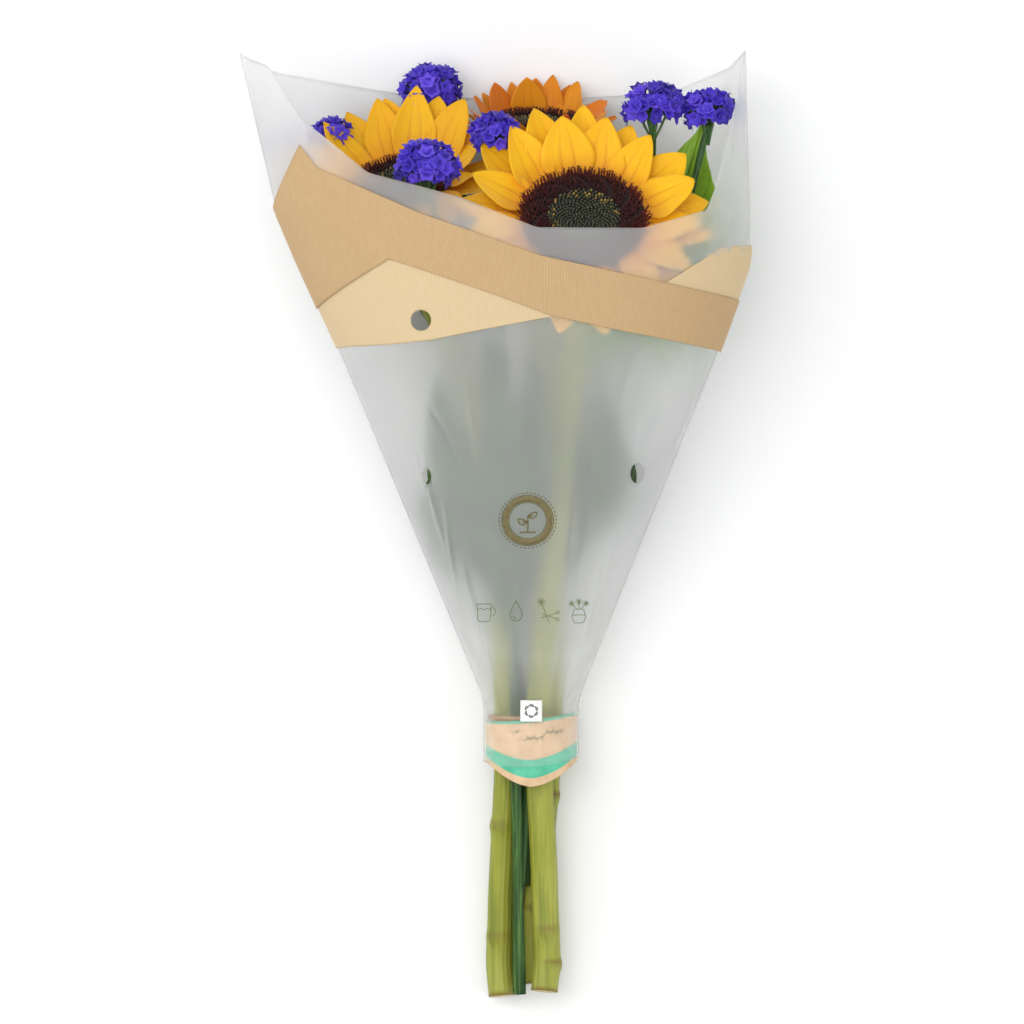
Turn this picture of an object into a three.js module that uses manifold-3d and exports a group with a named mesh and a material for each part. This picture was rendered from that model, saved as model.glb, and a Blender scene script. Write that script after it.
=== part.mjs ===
// Bunch of three sunflowers with violet statice, in a translucent film sleeve with paper strips,
// tied with an elastic band and lying on its back on a surface.
// Millimetres. +Y runs from the cut stem ends to the flower heads, +Z is up from the surface.
// Built with the tie at y = 0 and the bundle's axis at x = 0; the last lines centre the bunch.
import * as THREE from "three";
import Module from "manifold-3d";
import { mergeVertices } from "three/addons/utils/BufferGeometryUtils.js";

const wasm = await Module();
wasm.setup();

// Driving dimensions
const clearance = 0.3; // left between pieces that touch
const headRadius = 69; // largest sunflower, centre to petal tip
const tieToHeads = 270; // from the tie to the centre of the largest head
const stemsBelowTie = 153; // from the tie to the longest cut end
const stemRadius = 7.5; // sunflower stem
const staticeStemRadius = 3.3;
const staticeHeadRadius = 18; // largest cluster of statice florets
const discShare = 0.51; // flower disc radius over head radius
const centreShare = 0.29; // unopened green centre over head radius
const petalThickness = 1.2;
const leafThickness = 1.2;
const leafUnit = 69; // scales the leaves: the largest one is 1.6 of these long
const filmThickness = 0.6;
const paperThickness = 0.5;
const sachetThickness = 1.2;
const sachetLength = 37;
const bandThickness = 1.2;
const bandWidth = 6;
const sleeveBelowTie = 22; // the film's lower end hangs this far past the tie
const neckAboveTie = 12; // the film starts to flare here
const ventRadius = 5.6;
const labelSide = 13;

// The bundle's layout grows with both kinds of stem, so neighbours keep their clearance.
const bundleUnit = (stemRadius + staticeStemRadius) / 10.8;
const tieInset = filmThickness + sachetThickness + bandThickness + 2 * clearance;
const neckHalfWidth = 23 * bundleUnit + tieInset;
const neckHeight = 41.5 * bundleUnit + 2 * tieInset;

const colours = {
  film: 0xd7d9d5,
  paperDark: 0xd6b485,
  paperLight: 0xe6cfa5,
  sachet: 0xcdaf82,
  elastic: 0xb98a52,
  label: 0xf4f4f0,
  petal: 0xf8be14,
  petalInner: 0xeda60f,
  florets: 0x4a1210,
  centre: 0x2b3318,
  calyx: 0x5f8a32,
  stem: 0x969e41,
  leaf: 0x6c9624,
  staticeStem: 0x32591a,
  statice: 0x4b28dc,
};

const bunch = new THREE.Group();

function addPiece(name, geometry, colour, roughness = 0.7) {
  const material = new THREE.MeshStandardMaterial({ color: colour, roughness, metalness: 0 });
  const mesh = new THREE.Mesh(geometry, material);
  mesh.name = name;
  bunch.add(mesh);
  return mesh;
}

// Booleans
function toSolid(geometry) {
  const bare = geometry.clone();
  bare.deleteAttribute("normal");
  bare.deleteAttribute("uv");
  const merged = mergeVertices(bare, 1e-4);
  return new wasm.Manifold(
    new wasm.Mesh({
      numProp: 3,
      vertProperties: new Float32Array(merged.attributes.position.array),
      triVerts: new Uint32Array(merged.index.array),
    }),
  );
}

function toGeometry(solid) {
  const mesh = solid.getMesh();
  const geometry = new THREE.BufferGeometry();
  geometry.setAttribute("position", new THREE.BufferAttribute(new Float32Array(mesh.vertProperties), 3));
  geometry.setIndex(new THREE.BufferAttribute(new Uint32Array(mesh.triVerts), 1));
  geometry.computeVertexNormals();
  return geometry;
}

function joined(geometries) {
  return toGeometry(geometries.map(toSolid).reduce((sum, solid) => sum.add(solid)));
}

// A closed sheet from two grids of points, face[row][column] and back[row][column].
// "wrapped" joins the last column to the first, as on a ring.
function sheetGeometry(face, back, wrapped = false) {
  const rows = face.length;
  const columns = face[0].length;
  const points = [...face.flat(), ...back.flat()];
  const at = (side, row, column) => side * rows * columns + row * columns + (column % columns);
  const index = [];
  const quad = (a, b, c, d) => index.push(a, b, c, a, c, d);
  const steps = wrapped ? columns : columns - 1;
  for (let row = 0; row < rows - 1; row++) {
    for (let column = 0; column < steps; column++) {
      quad(at(0, row, column), at(0, row, column + 1), at(0, row + 1, column + 1), at(0, row + 1, column));
      quad(at(1, row, column), at(1, row + 1, column), at(1, row + 1, column + 1), at(1, row, column + 1));
    }
  }
  for (let column = 0; column < steps; column++) {
    quad(at(1, 0, column), at(1, 0, column + 1), at(0, 0, column + 1), at(0, 0, column));
    const last = rows - 1;
    quad(at(0, last, column), at(0, last, column + 1), at(1, last, column + 1), at(1, last, column));
  }
  if (!wrapped) {
    for (let row = 0; row < rows - 1; row++) {
      quad(at(0, row, 0), at(0, row + 1, 0), at(1, row + 1, 0), at(1, row, 0));
      const side = columns - 1;
      quad(at(1, row, side), at(1, row + 1, side), at(0, row + 1, side), at(0, row, side));
    }
  }
  const geometry = new THREE.BufferGeometry().setFromPoints(points);
  geometry.setIndex(index);
  geometry.computeVertexNormals();
  return geometry;
}

function polyline(points, at) {
  let k = 0;
  while (k < points.length - 2 && at > points[k + 1][0]) k++;
  const [a, b] = [points[k], points[k + 1]];
  const share = THREE.MathUtils.clamp((at - a[0]) / (b[0] - a[0]), 0, 1);
  return a.slice(1).map((value, i) => value + (b[i + 1] - value) * share);
}

// ---- Sleeve: a flat bag of two welded panels, opened by the flowers ----
// Each station is [y, left, right, height, seam height].
const R = headRadius;
const headsY = tieToHeads;
const stations = [
  [-sleeveBelowTie, -neckHalfWidth, neckHalfWidth, neckHeight, 0.48 * neckHeight],
  [neckAboveTie, -neckHalfWidth, neckHalfWidth, neckHeight, 0.48 * neckHeight],
  [headsY - 0.96 * R, -1.53 * R, 1.49 * R, 2.12 * R, 0.84 * R],
  [headsY - 0.25 * R, -1.855 * R, 1.746 * R, 2.2 * R, 0.93 * R],
  [headsY + 0.19 * R, -2.04 * R, 1.74 * R, 2.2 * R, 0.96 * R],
  [headsY + 1.42 * R, -2.33 * R, 1.71 * R, 2.0 * R, 1.0 * R],
];
const flatShare = 0.5; // of the back panel's half width lies flat on the surface
const domePower = 2.8;

// A point of the sleeve's outside at share u of its half width, -1 at the left weld, +1 at the right.
function sleevePoint(front, u, y) {
  const [left, right, height, seam] = polyline(stations, y);
  const x = (left + right) / 2 + (u * (right - left)) / 2;
  const away = Math.min(Math.abs(u), 1);
  if (front) {
    const rise = Math.pow(1 - Math.pow(away, domePower), 1 / domePower);
    return new THREE.Vector3(x, y, seam + (height - seam) * rise);
  }
  const turned = Math.max(0, (away - flatShare) / (1 - flatShare));
  return new THREE.Vector3(x, y, seam * (1 - Math.sqrt(1 - turned * turned)));
}

function inwardNormal(front, u, y) {
  const step = 0.002;
  const middle = u * (1 - step);
  const across = sleevePoint(front, middle + step, y).sub(sleevePoint(front, middle - step, y));
  const along = sleevePoint(front, u, y + 1).sub(sleevePoint(front, u, y - 1));
  const normal = across.cross(along).normalize();
  return front ? normal.negate() : normal;
}

// Columns crowd towards the welds, where the section turns fastest.
const panelColumns = [];
for (let k = -11; k <= 11; k++) panelColumns.push(Math.sin((k / 11) * Math.PI * 0.5));
const frontEdge = [
  [-1, 1.42], [-0.88, 1.29], [-0.8, 0.855], [-0.58, 0.435], [-0.22, 0.24], [0.08, 0.0],
  [0.53, -0.004], [0.81, 0.145], [0.85, 0.35], [0.92, 0.83], [1, 1.45],
];
const backEdge = [
  [-1, 1.42], [-0.88, 1.29], [-0.43, 1.145], [0.1, 1.07], [0.71, 1.145], [0.94, 1.32], [1, 1.45],
];

// A layer of a panel between two distances in from its outside; a negative distance lies outside it.
function panelLayer(front, near, far) {
  const edge = front ? frontEdge : backEdge;
  const fixedRows = stations.slice(0, 4).map((station) => station[0]);
  const lastFixed = fixedRows[fixedRows.length - 1];
  const weldLift = front ? clearance / 2 : -clearance / 2;
  const grid = (depth) => {
    const rowPoints = (rowY) =>
      panelColumns.map((u) => {
        const y = rowY(headsY + polyline(edge, u)[0] * R);
        const point = sleevePoint(front, u, y).addScaledVector(inwardNormal(front, u, y), depth);
        point.z += weldLift * Math.pow(Math.abs(u), 8);
        return point;
      });
    return [
      ...fixedRows.map((y) => rowPoints(() => y)),
      ...[1 / 3, 2 / 3, 1].map((share) => rowPoints((top) => lastFixed + (top - lastFixed) * share)),
    ];
  };
  return front ? sheetGeometry(grid(near), grid(far)) : sheetGeometry(grid(far), grid(near));
}

// An upright prism over an outline in the plan view, for trimming what lies along the front panel.
function planPrism(outline) {
  const shape = new THREE.Shape(outline.map(([x, y]) => new THREE.Vector2(x, y)));
  return toSolid(new THREE.ExtrudeGeometry(shape, { depth: 4 * R, bevelEnabled: false }));
}

function stripOutline(upper, lower) {
  const plan = ([u, rise]) => {
    const y = headsY + rise * R;
    return [sleevePoint(true, u, y).x + (Math.abs(u) === 1 ? u * R : 0), y];
  };
  return [...lower.map(plan), ...[...upper].reverse().map(plan)];
}

function ventCutter(x, y, radiusX, radiusY) {
  const turns = 14;
  const outline = [];
  for (let k = 0; k < turns; k++) {
    const angle = (2 * Math.PI * k) / turns;
    outline.push([x + radiusX * Math.cos(angle), y + radiusY * Math.sin(angle)]);
  }
  return planPrism(outline);
}

const vents = [
  ventCutter(-0.87 * R, headsY - 0.73 * R, ventRadius, ventRadius),
  ventCutter(-0.83 * R, headsY - 1.96 * R, 0.45 * ventRadius, 0.75 * ventRadius),
  ventCutter(0.84 * R, headsY - 1.93 * R, 0.7 * ventRadius, ventRadius),
];
const withVents = (solid) => vents.reduce((rest, vent) => rest.subtract(vent), solid);

const stripUnderUpper = [[-1, -0.2], [-0.59, 0.0], [0.07, -0.26], [0.81, -0.53], [0.88, -0.2], [1, -0.12]];
const stripUnderLower = [[-1, -0.93], [-0.73, -0.92], [-0.5, -0.884], [0.12, -0.7], [1, -0.62]];
const stripOverUpper = [
  [-1, 0.19], [-0.83, 0.665], [-0.78, 0.48], [-0.65, 0.35], [-0.4, 0.116], [-0.2, -0.03],
  [0.07, -0.22], [0.38, -0.34], [0.81, -0.49], [1, -0.55],
];
const stripOverLower = [[-1, -0.61], [-0.59, -0.246], [0.12, -0.696], [0.47, -0.81], [1, -0.957]];

const filmRoughness = 0.35;
const frontPanel = withVents(toSolid(panelLayer(true, 0, filmThickness)));
addPiece("sleeve_front_panel", toGeometry(frontPanel), colours.film, filmRoughness);
addPiece("sleeve_back_panel", panelLayer(false, 0, filmThickness), colours.film, filmRoughness);

// Paper strips lie on the front panel, the second over the first.
const underNear = -clearance;
const overNear = underNear - paperThickness - clearance;
const stripUnder = toSolid(panelLayer(true, underNear - paperThickness, underNear));
const stripOver = toSolid(panelLayer(true, overNear - paperThickness, overNear));
addPiece(
  "paper_strip_under",
  toGeometry(withVents(stripUnder.intersect(planPrism(stripOutline(stripUnderUpper, stripUnderLower))))),
  colours.paperLight,
);
addPiece(
  "paper_strip_over",
  toGeometry(withVents(stripOver.intersect(planPrism(stripOutline(stripOverUpper, stripOverLower))))),
  colours.paperDark,
);

// A plain square label, stuck on the film just above the tie.
const labelY = neckAboveTie - labelSide / 2;
const labelOutline = [
  [-labelSide / 2, labelY - labelSide / 2],
  [labelSide / 2, labelY - labelSide / 2],
  [labelSide / 2, labelY + labelSide / 2],
  [-labelSide / 2, labelY + labelSide / 2],
];
addPiece("square_label", toGeometry(stripUnder.intersect(planPrism(labelOutline))), colours.label);

// ---- Tie: flower-food sachet over the stems, and the elastic band under it ----
// A loop layer around the bundle, between two distances in from the sleeve's outside.
function neckLayer(near, far, lowY, highY, withBack) {
  const columns = 12;
  const ring = [];
  const short = 0.15; // of a column is left open at each weld
  const share = (k) => Math.cos((Math.PI * (k + short)) / (columns + 2 * short));
  for (let k = 0; k <= columns; k++) ring.push([true, -share(k)]);
  if (withBack) {
    for (let k = 0; k <= columns; k++) ring.push([false, share(k)]);
  }
  const point = (front, u, y, depth) =>
    sleevePoint(front, u, 0).setY(y).addScaledVector(inwardNormal(front, u, 0), depth);
  const grid = (depth) => [lowY, highY].map((y) => ring.map(([front, u]) => point(front, u, y, depth)));
  return sheetGeometry(grid(near), grid(far), withBack);
}

const sachetNear = filmThickness + clearance;
const bandNear = sachetNear + sachetThickness + clearance;
addPiece(
  "flower_food_sachet",
  neckLayer(sachetNear, sachetNear + sachetThickness, 1 - sachetLength, 1, false),
  colours.sachet,
);
addPiece(
  "elastic_band",
  neckLayer(bandNear, bandNear + bandThickness, -bandWidth / 2, bandWidth / 2, true),
  colours.elastic,
);

// ---- Stems ----
function tube(points, radius, sides, steps) {
  const path = new THREE.CatmullRomCurve3(points.map((point) => new THREE.Vector3(...point)));
  const section = new THREE.Shape();
  for (let k = 0; k < sides; k++) {
    const angle = (2 * Math.PI * k) / sides;
    const [x, y] = [radius * Math.cos(angle), radius * Math.sin(angle)];
    if (k === 0) section.moveTo(x, y);
    else section.lineTo(x, y);
  }
  section.closePath();
  return new THREE.ExtrudeGeometry(section, { extrudePath: path, steps, bevelEnabled: false });
}

// ---- Sunflowers ----
// Each head has its own frame: axis +Z out of its face, +Y towards its upper petals.
function headFrame({ centre, face }) {
  const normal = new THREE.Vector3(...face).normalize();
  const right = new THREE.Vector3(0, normal.z, -normal.y).cross(normal).normalize();
  const up = normal.clone().cross(right);
  return new THREE.Matrix4().makeBasis(right, up, normal).setPosition(...centre);
}

// A ring of blades round the axis, in one piece with the narrow collar that they grow from.
// cup(angle) is how far a blade lifts towards the face, angle 0 being the upper side.
// It reaches that lift over the distance "bend" from its root.
// Its sides are full up to the share "shoulder" of its length, or it tapers all the way without one.
function bladeRing({ inner, root, tip, count, level, thickness, cup, bend, shoulder, rows }) {
  const columns = [];
  for (let k = 0; k < count; k++) {
    columns.push([k, 0.12]);
    if (shoulder) columns.push([k + 0.1, shoulder]);
    columns.push([k + 0.5, 1]);
    if (shoulder) columns.push([k + 0.9, shoulder]);
  }
  const length = tip - root;
  const place = (turn, reach, lift) => {
    const angle = (2 * Math.PI * turn) / count;
    let radius = root;
    let height = level;
    const steps = 8;
    for (let k = 0; k < steps; k++) {
      const travelled = ((k + 0.5) / steps) * reach * length;
      const slope = cup(angle) * Math.min(1, travelled / bend);
      radius += (Math.cos(slope) * reach * length) / steps;
      height += (Math.sin(slope) * reach * length) / steps;
    }
    return new THREE.Vector3(radius * Math.sin(angle), radius * Math.cos(angle), height + lift);
  };
  const grid = (lift) => {
    const collar = columns.map(([turn]) => {
      const angle = (2 * Math.PI * turn) / count;
      return new THREE.Vector3(inner * Math.sin(angle), inner * Math.cos(angle), level + lift);
    });
    const rings = [collar];
    for (let row = 0; row <= rows; row++) {
      rings.push(columns.map(([turn, reach]) => place(turn, (reach * row) / rows, lift)));
    }
    return rings;
  };
  return sheetGeometry(grid(thickness / 2), grid(-thickness / 2), true);
}

function lathe(profile, segments) {
  const points = profile.map(([radius, height]) => new THREE.Vector2(radius, height));
  return new THREE.LatheGeometry(points, segments).rotateX(Math.PI / 2);
}

const degrees = THREE.MathUtils.degToRad;
const petalStep = petalThickness + 7 * clearance;

// A place near the heads, in head radii from the point over the tie at the largest head's height.
const nearHeads = (x, y, z) => [x * R, headsY + y * R, z * R];
// A place between tie and heads: a share of the way, with its sides in head radii.
const midway = (x, share, z) => [x * R, share * tieToHeads, z * R];
// A place in the tie, measured from the bundle's axis and from the band's lowest inner side.
const inTie = (x, z) => [x * bundleUnit, 0, tieInset + z * bundleUnit];
// A cut end: its side, its height over what rests on the surface, and how much shorter it is.
const cutEnd = (x, z, shorter, radius) => [
  x * bundleUnit,
  -stemsBelowTie + shorter,
  radius + clearance + z * bundleUnit,
];

const sunflowers = [
  {
    name: "sunflower_1",
    centre: nearHeads(0.41, 0, 1.57),
    face: [0.03, 0.68, 0.73],
    size: 1,
    cup: { mean: -4, swing: 40, sides: 0 },
    tie: inTie(4, 29.4),
    end: cutEnd(9.4, 13.7, 3, stemRadius),
    petals: 16,
  },
  {
    name: "sunflower_2",
    centre: nearHeads(-1.03, 0.3, 0.88),
    face: [-0.15, 0.84, 0.5],
    size: 0.76,
    cup: { mean: 8, swing: 38, sides: 0 },
    tie: inTie(-13, 18.4),
    via: [midway(-0.42, 0.62, 0.38)],
    end: cutEnd(-18.3, 0, 0, stemRadius),
    petals: 15,
  },
  {
    name: "sunflower_3",
    centre: nearHeads(0.06, 0.77, 0.5),
    face: [0.02, 0.97, 0.24],
    size: 0.72,
    cup: { mean: 70, swing: 6, sides: 36 },
    tie: inTie(10, 8.2),
    end: cutEnd(0, 0, 7, stemRadius),
    petals: 14,
  },
];

for (const flower of sunflowers) {
  const frame = headFrame(flower);
  const tip = flower.size * R;
  const disc = discShare * tip;
  const collar = 0.4 * tip;
  const stemTop = 0.36 * tip;
  const outerLevel = petalThickness / 2 + clearance;
  const innerLevel = outerLevel + petalStep;
  const seat = innerLevel + petalThickness / 2 + clearance;
  const floretHeight = 0.13 * tip;
  const bend = 0.22 * tip;
  const { mean, swing, sides } = flower.cup;
  const cup = (more) => (angle) =>
    degrees(mean + more + swing * Math.cos(angle) - sides * Math.sin(angle) ** 2);
  const placed = (geometry) => geometry.applyMatrix4(frame);
  const ring = { thickness: petalThickness, bend };

  const receptacle = lathe(
    [
      [0, -stemTop],
      [stemRadius + 2, -stemTop],
      [0.3 * tip, -0.2 * tip],
      [disc, -petalThickness - 0.04 * tip],
      [disc, 0],
      [collar - clearance, 0],
      [collar - clearance, seat - clearance],
      [0, seat - clearance],
    ],
    18,
  );
  const bracts = bladeRing({
    ...ring,
    inner: 0.3 * tip,
    root: 0.96 * disc,
    tip: 0.7 * tip,
    count: 11,
    level: -(1.2 * petalThickness + 0.012 * tip),
    cup: cup(-20),
    rows: 1,
  });
  addPiece(flower.name + "_calyx", placed(joined([receptacle, bracts])), colours.calyx);

  const petals = { ...ring, inner: collar, shoulder: 0.72, rows: 2 };
  const outerPetals = bladeRing({
    ...petals,
    root: disc + 1.5 * petalThickness,
    tip,
    count: flower.petals,
    level: outerLevel,
    cup: cup(0),
  });
  addPiece(flower.name + "_outer_petals", placed(outerPetals), colours.petal, 0.5);
  const innerPetals = bladeRing({
    ...petals,
    root: disc,
    tip: 0.93 * tip,
    count: flower.petals - 4,
    level: innerLevel,
    cup: cup(8),
  });
  addPiece(flower.name + "_inner_petals", placed(innerPetals), colours.petalInner, 0.5);

  const centre = centreShare * tip;
  const ringInner = centre + clearance;
  const floretRing = lathe(
    [
      [ringInner, seat],
      [0.96 * disc, seat],
      [disc, seat + 0.5 * floretHeight],
      [0.86 * disc, seat + floretHeight],
      [ringInner, seat + 0.7 * floretHeight],
      [ringInner, seat],
    ],
    20,
  );
  addPiece(flower.name + "_floret_ring", placed(floretRing), colours.florets, 0.9);
  const discCentre = lathe(
    [
      [0, seat],
      [centre, seat],
      [centre, seat + 0.6 * floretHeight],
      [0.7 * centre, seat + 0.75 * floretHeight],
      [0, seat + 0.6 * floretHeight],
    ],
    16,
  );
  addPiece(flower.name + "_disc_centre", placed(discCentre), colours.centre, 0.9);

  const belowFace = (distance) => new THREE.Vector3(0, 0, -distance).applyMatrix4(frame).toArray();
  const halfway = flower.end.map((value, k) => (value + flower.tie[k]) / 2);
  const stemPoints = [
    flower.end,
    halfway,
    flower.tie,
    ...(flower.via ?? []),
    belowFace(stemTop + 0.35 * R),
    belowFace(stemTop + clearance),
  ];
  flower.stemPoints = stemPoints;
  addPiece(flower.name + "_stem", tube(stemPoints, stemRadius, 10, 16), colours.stem);
}

// ---- Leaves: each grows from the side of a sunflower's stem ----
// route holds the midrib's offsets from the stem's axis, after the petiole leaves the stem's side.
function leafGeometry(axis, petiole, route, width, fold) {
  const midrib = new THREE.CatmullRomCurve3(
    [[petiole, 0, 0], ...route].map((offset) => new THREE.Vector3(...offset).add(axis)),
  );
  const rows = 9;
  const grid = (lift) => {
    const rings = [];
    for (let row = 0; row <= rows; row++) {
      const part = row / rows;
      const point = midrib.getPoint(part);
      const forward = midrib.getTangent(part);
      const across = new THREE.Vector3(forward.y, -forward.x, 0).normalize();
      const up = across.clone().cross(forward).normalize();
      const opened = Math.max(0, (part - 0.22) / 0.78);
      const half = petioleHalfWidth + (width / 2) * Math.sin(Math.PI * Math.pow(opened, 0.72)) ** 0.8;
      rings.push(
        [-1, -0.5, 0, 0.5, 1].map((side) =>
          point
            .clone()
            .addScaledVector(across, side * half)
            .addScaledVector(up, lift + Math.abs(side) * half * fold),
        ),
      );
    }
    return rings;
  };
  return sheetGeometry(grid(leafThickness / 2), grid(-leafThickness / 2));
}

const petioleHalfWidth = 1.4;
const leaves = [
  {
    name: "sunflower_1_leaf",
    flower: 0,
    at: 0.56,
    side: 1,
    route: [[0.41, 0.45, 0.03], [0.46, 0.95, 0.1], [0.44, 1.45, 0.14]],
    width: 0.4,
  },
  {
    name: "sunflower_2_leaf",
    flower: 1,
    at: 0.47,
    side: -1,
    route: [[-0.32, 0.45, 0.12], [-0.44, 0.95, 0.2], [-0.5, 1.5, 0.32]],
    width: 0.46,
  },
  {
    name: "sunflower_3_leaf",
    flower: 2,
    at: 0.5,
    side: 1,
    route: [[0.32, 0.45, 0], [0.38, 0.95, 0.02], [0.4, 1.5, 0.06]],
    width: 0.42,
  },
  {
    name: "upper_leaf",
    flower: 2,
    at: 0.72,
    side: 1,
    route: [[0.49, 0.5, 0.15], [0.94, 1.15, 0.35], [1.29, 2.2, 0.5]],
    width: 0.5,
  },
];
const leafFold = 0.12; // rise of a leaf's sides over its half width
for (const leaf of leaves) {
  const stem = new THREE.CatmullRomCurve3(
    sunflowers[leaf.flower].stemPoints.map((point) => new THREE.Vector3(...point)),
  );
  const petiole = leaf.side * (stemRadius + 4 * clearance + petioleHalfWidth);
  const route = leaf.route.map((offset) => offset.map((value) => value * leafUnit));
  const geometry = leafGeometry(stem.getPointAt(leaf.at), petiole, route, leaf.width * leafUnit, leafFold);
  addPiece(leaf.name, geometry, colours.leaf, 0.6);
}

// ---- Statice: branched ridged stems with rounded clusters of small florets ----
function clusterGeometry(centre, radius, seed) {
  const geometry = mergeVertices(
    new THREE.IcosahedronGeometry(1, 2).deleteAttribute("normal").deleteAttribute("uv"),
    1e-4,
  );
  const position = geometry.attributes.position;
  for (let k = 0; k < position.count; k++) {
    const point = new THREE.Vector3().fromBufferAttribute(position, k);
    const lumps = Math.sin(5 * point.x + seed) * Math.sin(5 * point.y + 2 * seed) * Math.sin(5 * point.z);
    point.multiplyScalar(radius * (0.94 + 0.06 * lumps)).multiply(new THREE.Vector3(1, 0.72, 0.6));
    position.setXYZ(k, point.x + centre[0], point.y + centre[1], point.z + centre[2]);
  }
  return geometry;
}

// A point straight under a cluster, at a distance below its lowest floret.
const underCluster = (cluster, distance) => [
  cluster.centre[0],
  cluster.centre[1] - 0.72 * cluster.size * staticeHeadRadius - distance,
  cluster.centre[2],
];
// The centre of a cluster whose right or left side touches a point.
const leftOf = ([x, y, z], size) => [x - size * staticeHeadRadius - clearance, y, z];
const rightOf = ([x, y, z], size) => [x + size * staticeHeadRadius + clearance, y, z];
const sprigs = [
  {
    name: "statice_1",
    end: cutEnd(-6.5, 17, 1, staticeStemRadius),
    tie: inTie(-9, 32),
    trunk: [midway(-0.15, 0.44, 1.0), midway(-0.2, 0.7, 1.22)],
    clusters: [
      {
        letter: "a",
        centre: nearHeads(-0.83, 0.49, 1.6),
        size: 1,
        route: [nearHeads(-0.5, -0.55, 1.52), nearHeads(-0.72, -0.05, 1.58)],
      },
      {
        letter: "b",
        centre: leftOf(nearHeads(-0.11, 0.76, 1.15), 0.68),
        size: 0.68,
        route: [nearHeads(-0.2, -0.3, 1.16), nearHeads(-0.24, 0.2, 1.12)],
      },
    ],
  },
  {
    name: "statice_2",
    end: cutEnd(-8, 0, 46, staticeStemRadius),
    tie: inTie(-4, 5.4),
    trunk: [midway(-0.4, 0.48, 0.17), midway(-0.72, 0.8, 0.17)],
    clusters: [
      {
        letter: "a",
        centre: nearHeads(-0.81, 1.16, 0.3),
        size: 1,
        route: [nearHeads(-0.8, 0.2, 0.15)],
      },
      {
        letter: "b",
        centre: nearHeads(-1.6, 0.77, 0.42),
        size: 0.55,
        route: [nearHeads(-1.2, 0.0, 0.22)],
      },
    ],
  },
  {
    name: "statice_3",
    end: cutEnd(-4.5, 13.6, 61, staticeStemRadius),
    tie: inTie(1, 17.4),
    trunk: [midway(0.17, 0.25, 0.4), midway(0.46, 0.5, 0.45), midway(0.9, 0.82, 0.8)],
    clusters: [
      {
        letter: "a",
        centre: leftOf(nearHeads(1.2, 1.0, 1.05), 0.85),
        size: 0.85,
        route: [nearHeads(0.98, 0.2, 0.98)],
      },
      {
        letter: "b",
        centre: rightOf(nearHeads(1.21, 0.96, 1.05), 0.75),
        size: 0.75,
        route: [nearHeads(1.2, 0.1, 0.98)],
      },
    ],
  },
];
for (const sprig of sprigs) {
  const halfway = sprig.end.map((value, k) => (value + sprig.tie[k]) / 2);
  const trunk = tube([sprig.end, halfway, sprig.tie, ...sprig.trunk], staticeStemRadius, 8, 12);
  const fork = sprig.trunk[sprig.trunk.length - 1];
  const beforeFork = sprig.trunk[sprig.trunk.length - 2];
  const start = fork.map((value, k) => value + (beforeFork[k] - value) * 0.06);
  const branches = sprig.clusters.map((cluster) => {
    const upright = [underCluster(cluster, 2 * staticeStemRadius), underCluster(cluster, clearance)];
    return tube([start, ...cluster.route, ...upright], 0.8 * staticeStemRadius, 8, 9);
  });
  addPiece(sprig.name + "_stem", joined([trunk, ...branches]), colours.staticeStem);
  sprig.clusters.forEach((cluster, k) => {
    const radius = cluster.size * staticeHeadRadius;
    addPiece(
      sprig.name + "_cluster_" + cluster.letter,
      clusterGeometry(cluster.centre, radius, k + sprig.tie[0]),
      colours.statice,
      0.8,
    );
  });
}

// The bunch stands on z = 0 with its middle over the origin.
bunch.updateMatrixWorld(true);
const extent = new THREE.Box3().setFromObject(bunch, true);
bunch.position.set(-(extent.min.x + extent.max.x) / 2, -(extent.min.y + extent.max.y) / 2, 0);

export default bunch;
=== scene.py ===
import math
import random

import bpy
import numpy as np
from mathutils import Matrix, Vector, noise


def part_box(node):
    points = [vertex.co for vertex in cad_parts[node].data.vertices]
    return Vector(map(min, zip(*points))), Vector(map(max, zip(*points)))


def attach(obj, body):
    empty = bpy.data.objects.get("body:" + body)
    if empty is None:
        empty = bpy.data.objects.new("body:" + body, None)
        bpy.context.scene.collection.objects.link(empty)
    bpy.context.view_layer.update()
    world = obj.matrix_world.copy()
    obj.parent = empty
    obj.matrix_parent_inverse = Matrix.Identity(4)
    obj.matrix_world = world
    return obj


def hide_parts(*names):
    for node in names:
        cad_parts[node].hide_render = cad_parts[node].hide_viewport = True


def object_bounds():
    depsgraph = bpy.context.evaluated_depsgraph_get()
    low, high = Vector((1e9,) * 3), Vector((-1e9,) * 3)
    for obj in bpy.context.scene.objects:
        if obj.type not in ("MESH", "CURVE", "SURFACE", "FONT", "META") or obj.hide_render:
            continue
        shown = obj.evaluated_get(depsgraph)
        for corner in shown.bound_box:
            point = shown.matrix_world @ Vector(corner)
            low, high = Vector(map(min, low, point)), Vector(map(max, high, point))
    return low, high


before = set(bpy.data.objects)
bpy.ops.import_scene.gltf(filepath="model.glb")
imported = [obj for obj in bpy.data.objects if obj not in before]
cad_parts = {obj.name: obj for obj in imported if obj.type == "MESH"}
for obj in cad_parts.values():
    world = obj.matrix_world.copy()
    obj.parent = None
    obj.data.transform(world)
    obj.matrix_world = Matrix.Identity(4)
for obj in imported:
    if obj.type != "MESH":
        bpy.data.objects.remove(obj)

cad_box = [list(corner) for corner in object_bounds()]

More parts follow.
